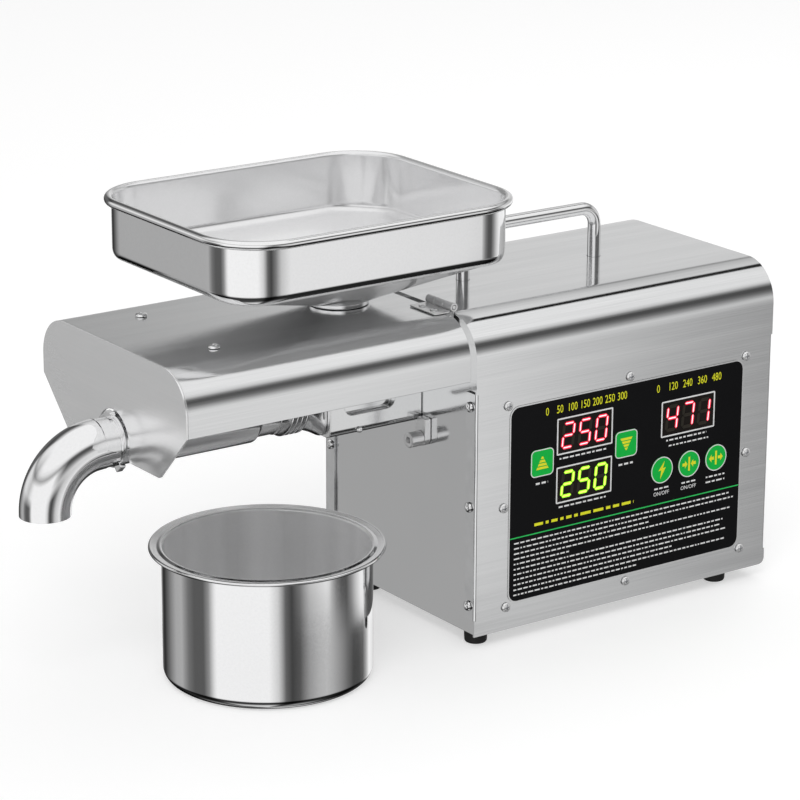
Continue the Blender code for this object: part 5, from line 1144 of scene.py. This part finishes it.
def oil_cup():
    """A deep-drawn cup with a flat rim that curls under at its edge."""
    rim, top = (CUP_HIGH.x - CUP_LOW.x) / 2, CUP_HIGH.z
    wall, sheet, edge, lip, curl = 0.061, 0.001, 0.006, 0.0016, 0.0011
    inside = wall - sheet
    profile = [(0, 0.0006), (wall - edge - 0.002, 0.0006), (wall - edge - 0.001, 0)]
    profile += arc((wall - edge, edge), edge, 270, 360, 14)
    profile.append((wall, top - 0.0040))
    profile += arc((wall + lip, top - 2 * lip), lip, 180, 90, 6)
    profile.append((rim - 0.0012, top - 2 * curl))
    profile += arc((rim - curl, top - curl), curl, 270, 450, 10)
    profile += [(rim - 0.0018, top - 0.0001), (wall + 0.0026, top - 0.0008), (wall + 0.0016, top - 0.0004)]
    profile += [(wall + 0.0006, top - 0.0001), (inside + 0.0005, top - 0.0004), (inside, top - 0.0014)]
    profile.append((inside, edge + sheet))
    profile += arc((inside - edge + sheet, edge), edge - sheet, 0, -90, 12)
    profile.append((0, sheet + 0.0004))
    piece("cup_body", turned("Z", CUP_MIDDLE, softened(profile, 0.0004, 2), 192), "cup", ["oil_cup"],
          body="oil_cup", sharp=40)


def inner_pieces():
    """Gives the solids that stay a finish for what each is made of."""
    finishes = {
        "gear": ["handle_nut_front", "handle_nut_rear", "panel_frame", "press_screw", "output_shaft",
                 "output_gear", "counter_gear", "bearing_front", "bearing_rear", "motor_rotor",
                 "motor_magnets"],
        "aluminium": ["gearbox_case", "gearbox_cover", "motor_end_cap"],
        "paint": ["motor_can"],
        "brushed": ["base_tray"],
        "board": ["control_board", "drive_board"],
        "plastic": ["motor_fan", "fan_frame", "fan_rotor", "power_inlet", "switch_frame", "power_rocker"],
    }
    for finish, nodes in finishes.items():
        for node in nodes:
            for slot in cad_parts[node].material_slots:
                slot.material = MATERIALS[finish]


# Studio


def studio_floor():
    shape = bmesh.new()
    bmesh.ops.create_circle(shape, cap_ends=True, segments=96, radius=9)
    mesh = mesh_of("studio_floor", shape)
    floor = stand("studio_floor", mesh, (0, 0, -0.0002))
    floor.visible_glossy = False
    made, tree, _ = new_material("floor_white")
    tree.nodes.clear()
    path = add_node(tree, "LightPath", {}).outputs
    seen = calc(tree, "MAXIMUM", path["Is Camera Ray"], path["Is Glossy Ray"])
    seen = calc(tree, "MAXIMUM", seen, path["Is Transmission Ray"])
    matte = add_node(tree, "BsdfDiffuse", {"Color": grey(0.62)}).outputs[0]
    strength = calc(tree, "MULTIPLY", seen, 0.5)
    glow = add_node(tree, "Emission", {"Color": grey(1.0), "Strength": strength})
    both = add_node(tree, "AddShader", {0: matte, 1: glow.outputs[0]})
    add_node(tree, "OutputMaterial", {"Surface": both.outputs[0]})
    mesh.materials.append(made)


def graded(tree, value, stops):
    """A grey that follows a value through (value, grey) stops."""
    low, high = stops[0][0], stops[-1][0]
    made = add_node(tree, "ValToRGB", {"Fac": ranged(tree, value, 0, 1, low, high)})
    elements = made.color_ramp.elements
    while len(elements) > 1:
        elements.remove(elements[-1])
    configure(elements[0], position=0.0, color=grey(stops[0][1]))
    for place, shade in stops[1:]:
        elements.new((place - low) / (high - low)).color = grey(shade)
    return made.outputs["Color"]


# The surround's greys by compass direction, in degrees from +X towards +Y: below the horizon, and above it
SURROUND_LOW = (
    (-180, 1.0), (-122, 1.0), (-112, 0.70), (-104, 0.14), (-97, 0.06), (-88, 0.22), (-77, 0.62), (-68, 0.74),
    (-57, 0.88), (-53, 0.80), (-49, 0.46), (-43, 0.20), (-36, 0.09), (-28, 0.09), (-20, 0.30), (-12, 0.62),
    (-2, 0.95), (32, 1.0), (42, 0.75), (58, 0.55), (68, 0.45), (75, 0.16), (81, 0.03), (88, 0.04),
)
SURROUND_LOW_FAR = (
    (88, 0.04), (100, 0.15), (110, 0.30), (118, 0.43), (129, 0.45), (134, 0.32), (141, 0.18), (150, 0.11),
    (163, 0.11), (170, 0.30), (177, 0.85), (180, 1.0),
)
SURROUND_HIGH = (
    (-180, 1.0), (-100, 1.0), (-50, 0.97), (-38, 0.97), (-29, 0.85), (-17, 0.88), (-2, 0.66), (12, 0.60),
    (26, 0.50), (36, 0.62), (50, 0.74), (54, 0.72), (60, 0.46), (65, 0.40), (72, 0.14), (102, 0.12),
    (111, 0.75), (125, 0.85), (150, 0.60), (170, 0.95), (180, 1.0),
)
# What stands lower still, around the cup
SURROUND_FOOT = (
    (-180, 1.0), (-122, 1.0), (-112, 0.70), (-104, 0.14), (-97, 0.06), (-88, 0.10), (-77, 0.34), (-66, 0.48),
    (-56, 0.54), (-48, 0.46), (-36, 0.30), (-26, 0.16), (-16, 0.07), (-6, 0.07), (4, 0.12), (13, 0.45),
    (22, 1.0), (42, 0.75), (58, 0.40), (68, 0.25), (75, 0.10), (81, 0.03), (88, 0.04),
)
# A dark screen's shade by height in degrees: on the near side, and elsewhere
SCREEN_NEAR = (
    (-8, 1.0), (0, 0.72), (5, 0.46), (12, 0.20), (18, 0.09), (23, 0.09), (27, 0.30), (31, 0.75), (37, 1.0),
)
SCREEN_FAR = ((17, 1.0), (24, 0.42), (31, 0.85), (38, 1.0))
# The shade below the horizon by height in degrees: a dark foot under the machine's level
FOOT = ((-90, 0.75), (-64, 0.65), (-57, 0.30), (-50, 0.05), (-30, 0.04), (-26, 0.8), (-23, 1.0))


def studio_world():
    """White to the camera. Reflections see the same white with soft grey studio screens in it."""
    world = bpy.data.worlds.new("studio")
    bpy.context.scene.world = world
    world.use_nodes = True
    tree = world.node_tree
    tree.nodes.clear()
    direction = add_node(tree, "SeparateXYZ", {0: coordinate(tree, "Generated")}).outputs
    degrees = 180 / math.pi
    turn = calc(tree, "MULTIPLY", calc(tree, "ARCTAN2", direction["Y"], direction["X"]), degrees)
    climb = calc(tree, "MULTIPLY", calc(tree, "ARCSINE", direction["Z"]), degrees)

    def around(*stops):
        return graded(tree, turn, stops)

    def upward(*stops):
        return graded(tree, climb, stops)

    low = mix(tree, upward((-21.3, 1), (-20.9, 0)), around(*SURROUND_LOW), around(*SURROUND_FOOT))
    low = mix(tree, around((87.9, 0), (88.1, 1)), low, around(*SURROUND_LOW_FAR))
    low = mix(tree, 1.0, low, upward(*FOOT), "MULTIPLY")
    near_side = around((-115, 0), (-95, 1), (-30, 1), (-8, 0))
    screen = mix(tree, near_side, upward(*SCREEN_FAR), upward(*SCREEN_NEAR))
    high = mix(tree, 1.0, around(*SURROUND_HIGH), screen, "MULTIPLY")
    side = mix(tree, upward((-7, 0), (3, 1)), low, high)
    strip = around((5, 1), (9, 0.03), (17, 0.03), (21, 1))
    ceiling = mix(tree, upward((38, 0), (42, 1), (60, 1), (64, 0)), grey(1.0), strip)
    surround = mix(tree, upward((36, 0), (56, 1)), side, ceiling)
    surround = mix(tree, 1.0, surround, ceiling, "MULTIPLY")

    reflected, plain, white = (
        add_node(tree, "Background", {"Color": colour, "Strength": strength}).outputs[0]
        for colour, strength in ((surround, 1.0), (grey(1.0), 0.62), (grey(1.0), 1.0))
    )
    path = add_node(tree, "LightPath", {}).outputs
    first = add_node(tree, "MixShader", {0: path["Is Glossy Ray"], 1: plain, 2: reflected})
    seen = calc(tree, "MAXIMUM", path["Is Camera Ray"], path["Is Transmission Ray"])
    second = add_node(tree, "MixShader", {0: seen, 1: first.outputs[0], 2: white})
    add_node(tree, "OutputWorld", {"Surface": second.outputs[0]})


def studio_lamps():
    size = 1.4
    for name, place, power in (("lamp_key", (-1.1, -1.3, 2.0), 16), ("lamp_fill", (1.4, 0.6, 1.9), 8)):
        light = configure(bpy.data.lights.new(name, "AREA"), shape="DISK", size=size, energy=power)
        made = stand(name, light, place)
        aim = Vector((0, 0, 0.12)) - Vector(place)
        made.rotation_euler = aim.to_track_quat("-Z", "Y").to_euler()
        made.visible_glossy = False


# The camera stands where the photograph was taken from
VIEW_TARGET = Vector((-0.07406, -0.10668, 0.17534))
VIEW_DISTANCE = 1.81217
VIEW_AZIMUTH = -0.6151429
VIEW_ELEVATION = 0.3013863
VIEW_ROLL = 0.003903
LENS = 146.64


def camera():
    flat = math.cos(VIEW_ELEVATION)
    back = Vector((math.sin(VIEW_AZIMUTH) * flat, -math.cos(VIEW_AZIMUTH) * flat, math.sin(VIEW_ELEVATION)))
    right = Vector((0, 0, 1)).cross(back).normalized()
    up = back.cross(right)
    turned_right = math.cos(VIEW_ROLL) * right + math.sin(VIEW_ROLL) * up
    turned_up = -math.sin(VIEW_ROLL) * right + math.cos(VIEW_ROLL) * up
    axes = Matrix((turned_right, turned_up, back)).transposed().to_4x4()
    data = configure(bpy.data.cameras.new("view"), lens=LENS, sensor_width=36)
    made = stand("view", data, (0, 0, 0))
    made.matrix_world = Matrix.Translation(ORIGIN + VIEW_TARGET + back * VIEW_DISTANCE) @ axes
    bpy.context.scene.camera = made


camera()
studio_world()
studio_floor()
studio_lamps()
housing()
control_panel()
hood()
hinges()
feed_block()
press_barrel()
spout()
latch()
hopper()
oil_cup()
inner_pieces()
bpy.context.scene.view_settings.view_transform = "Standard"
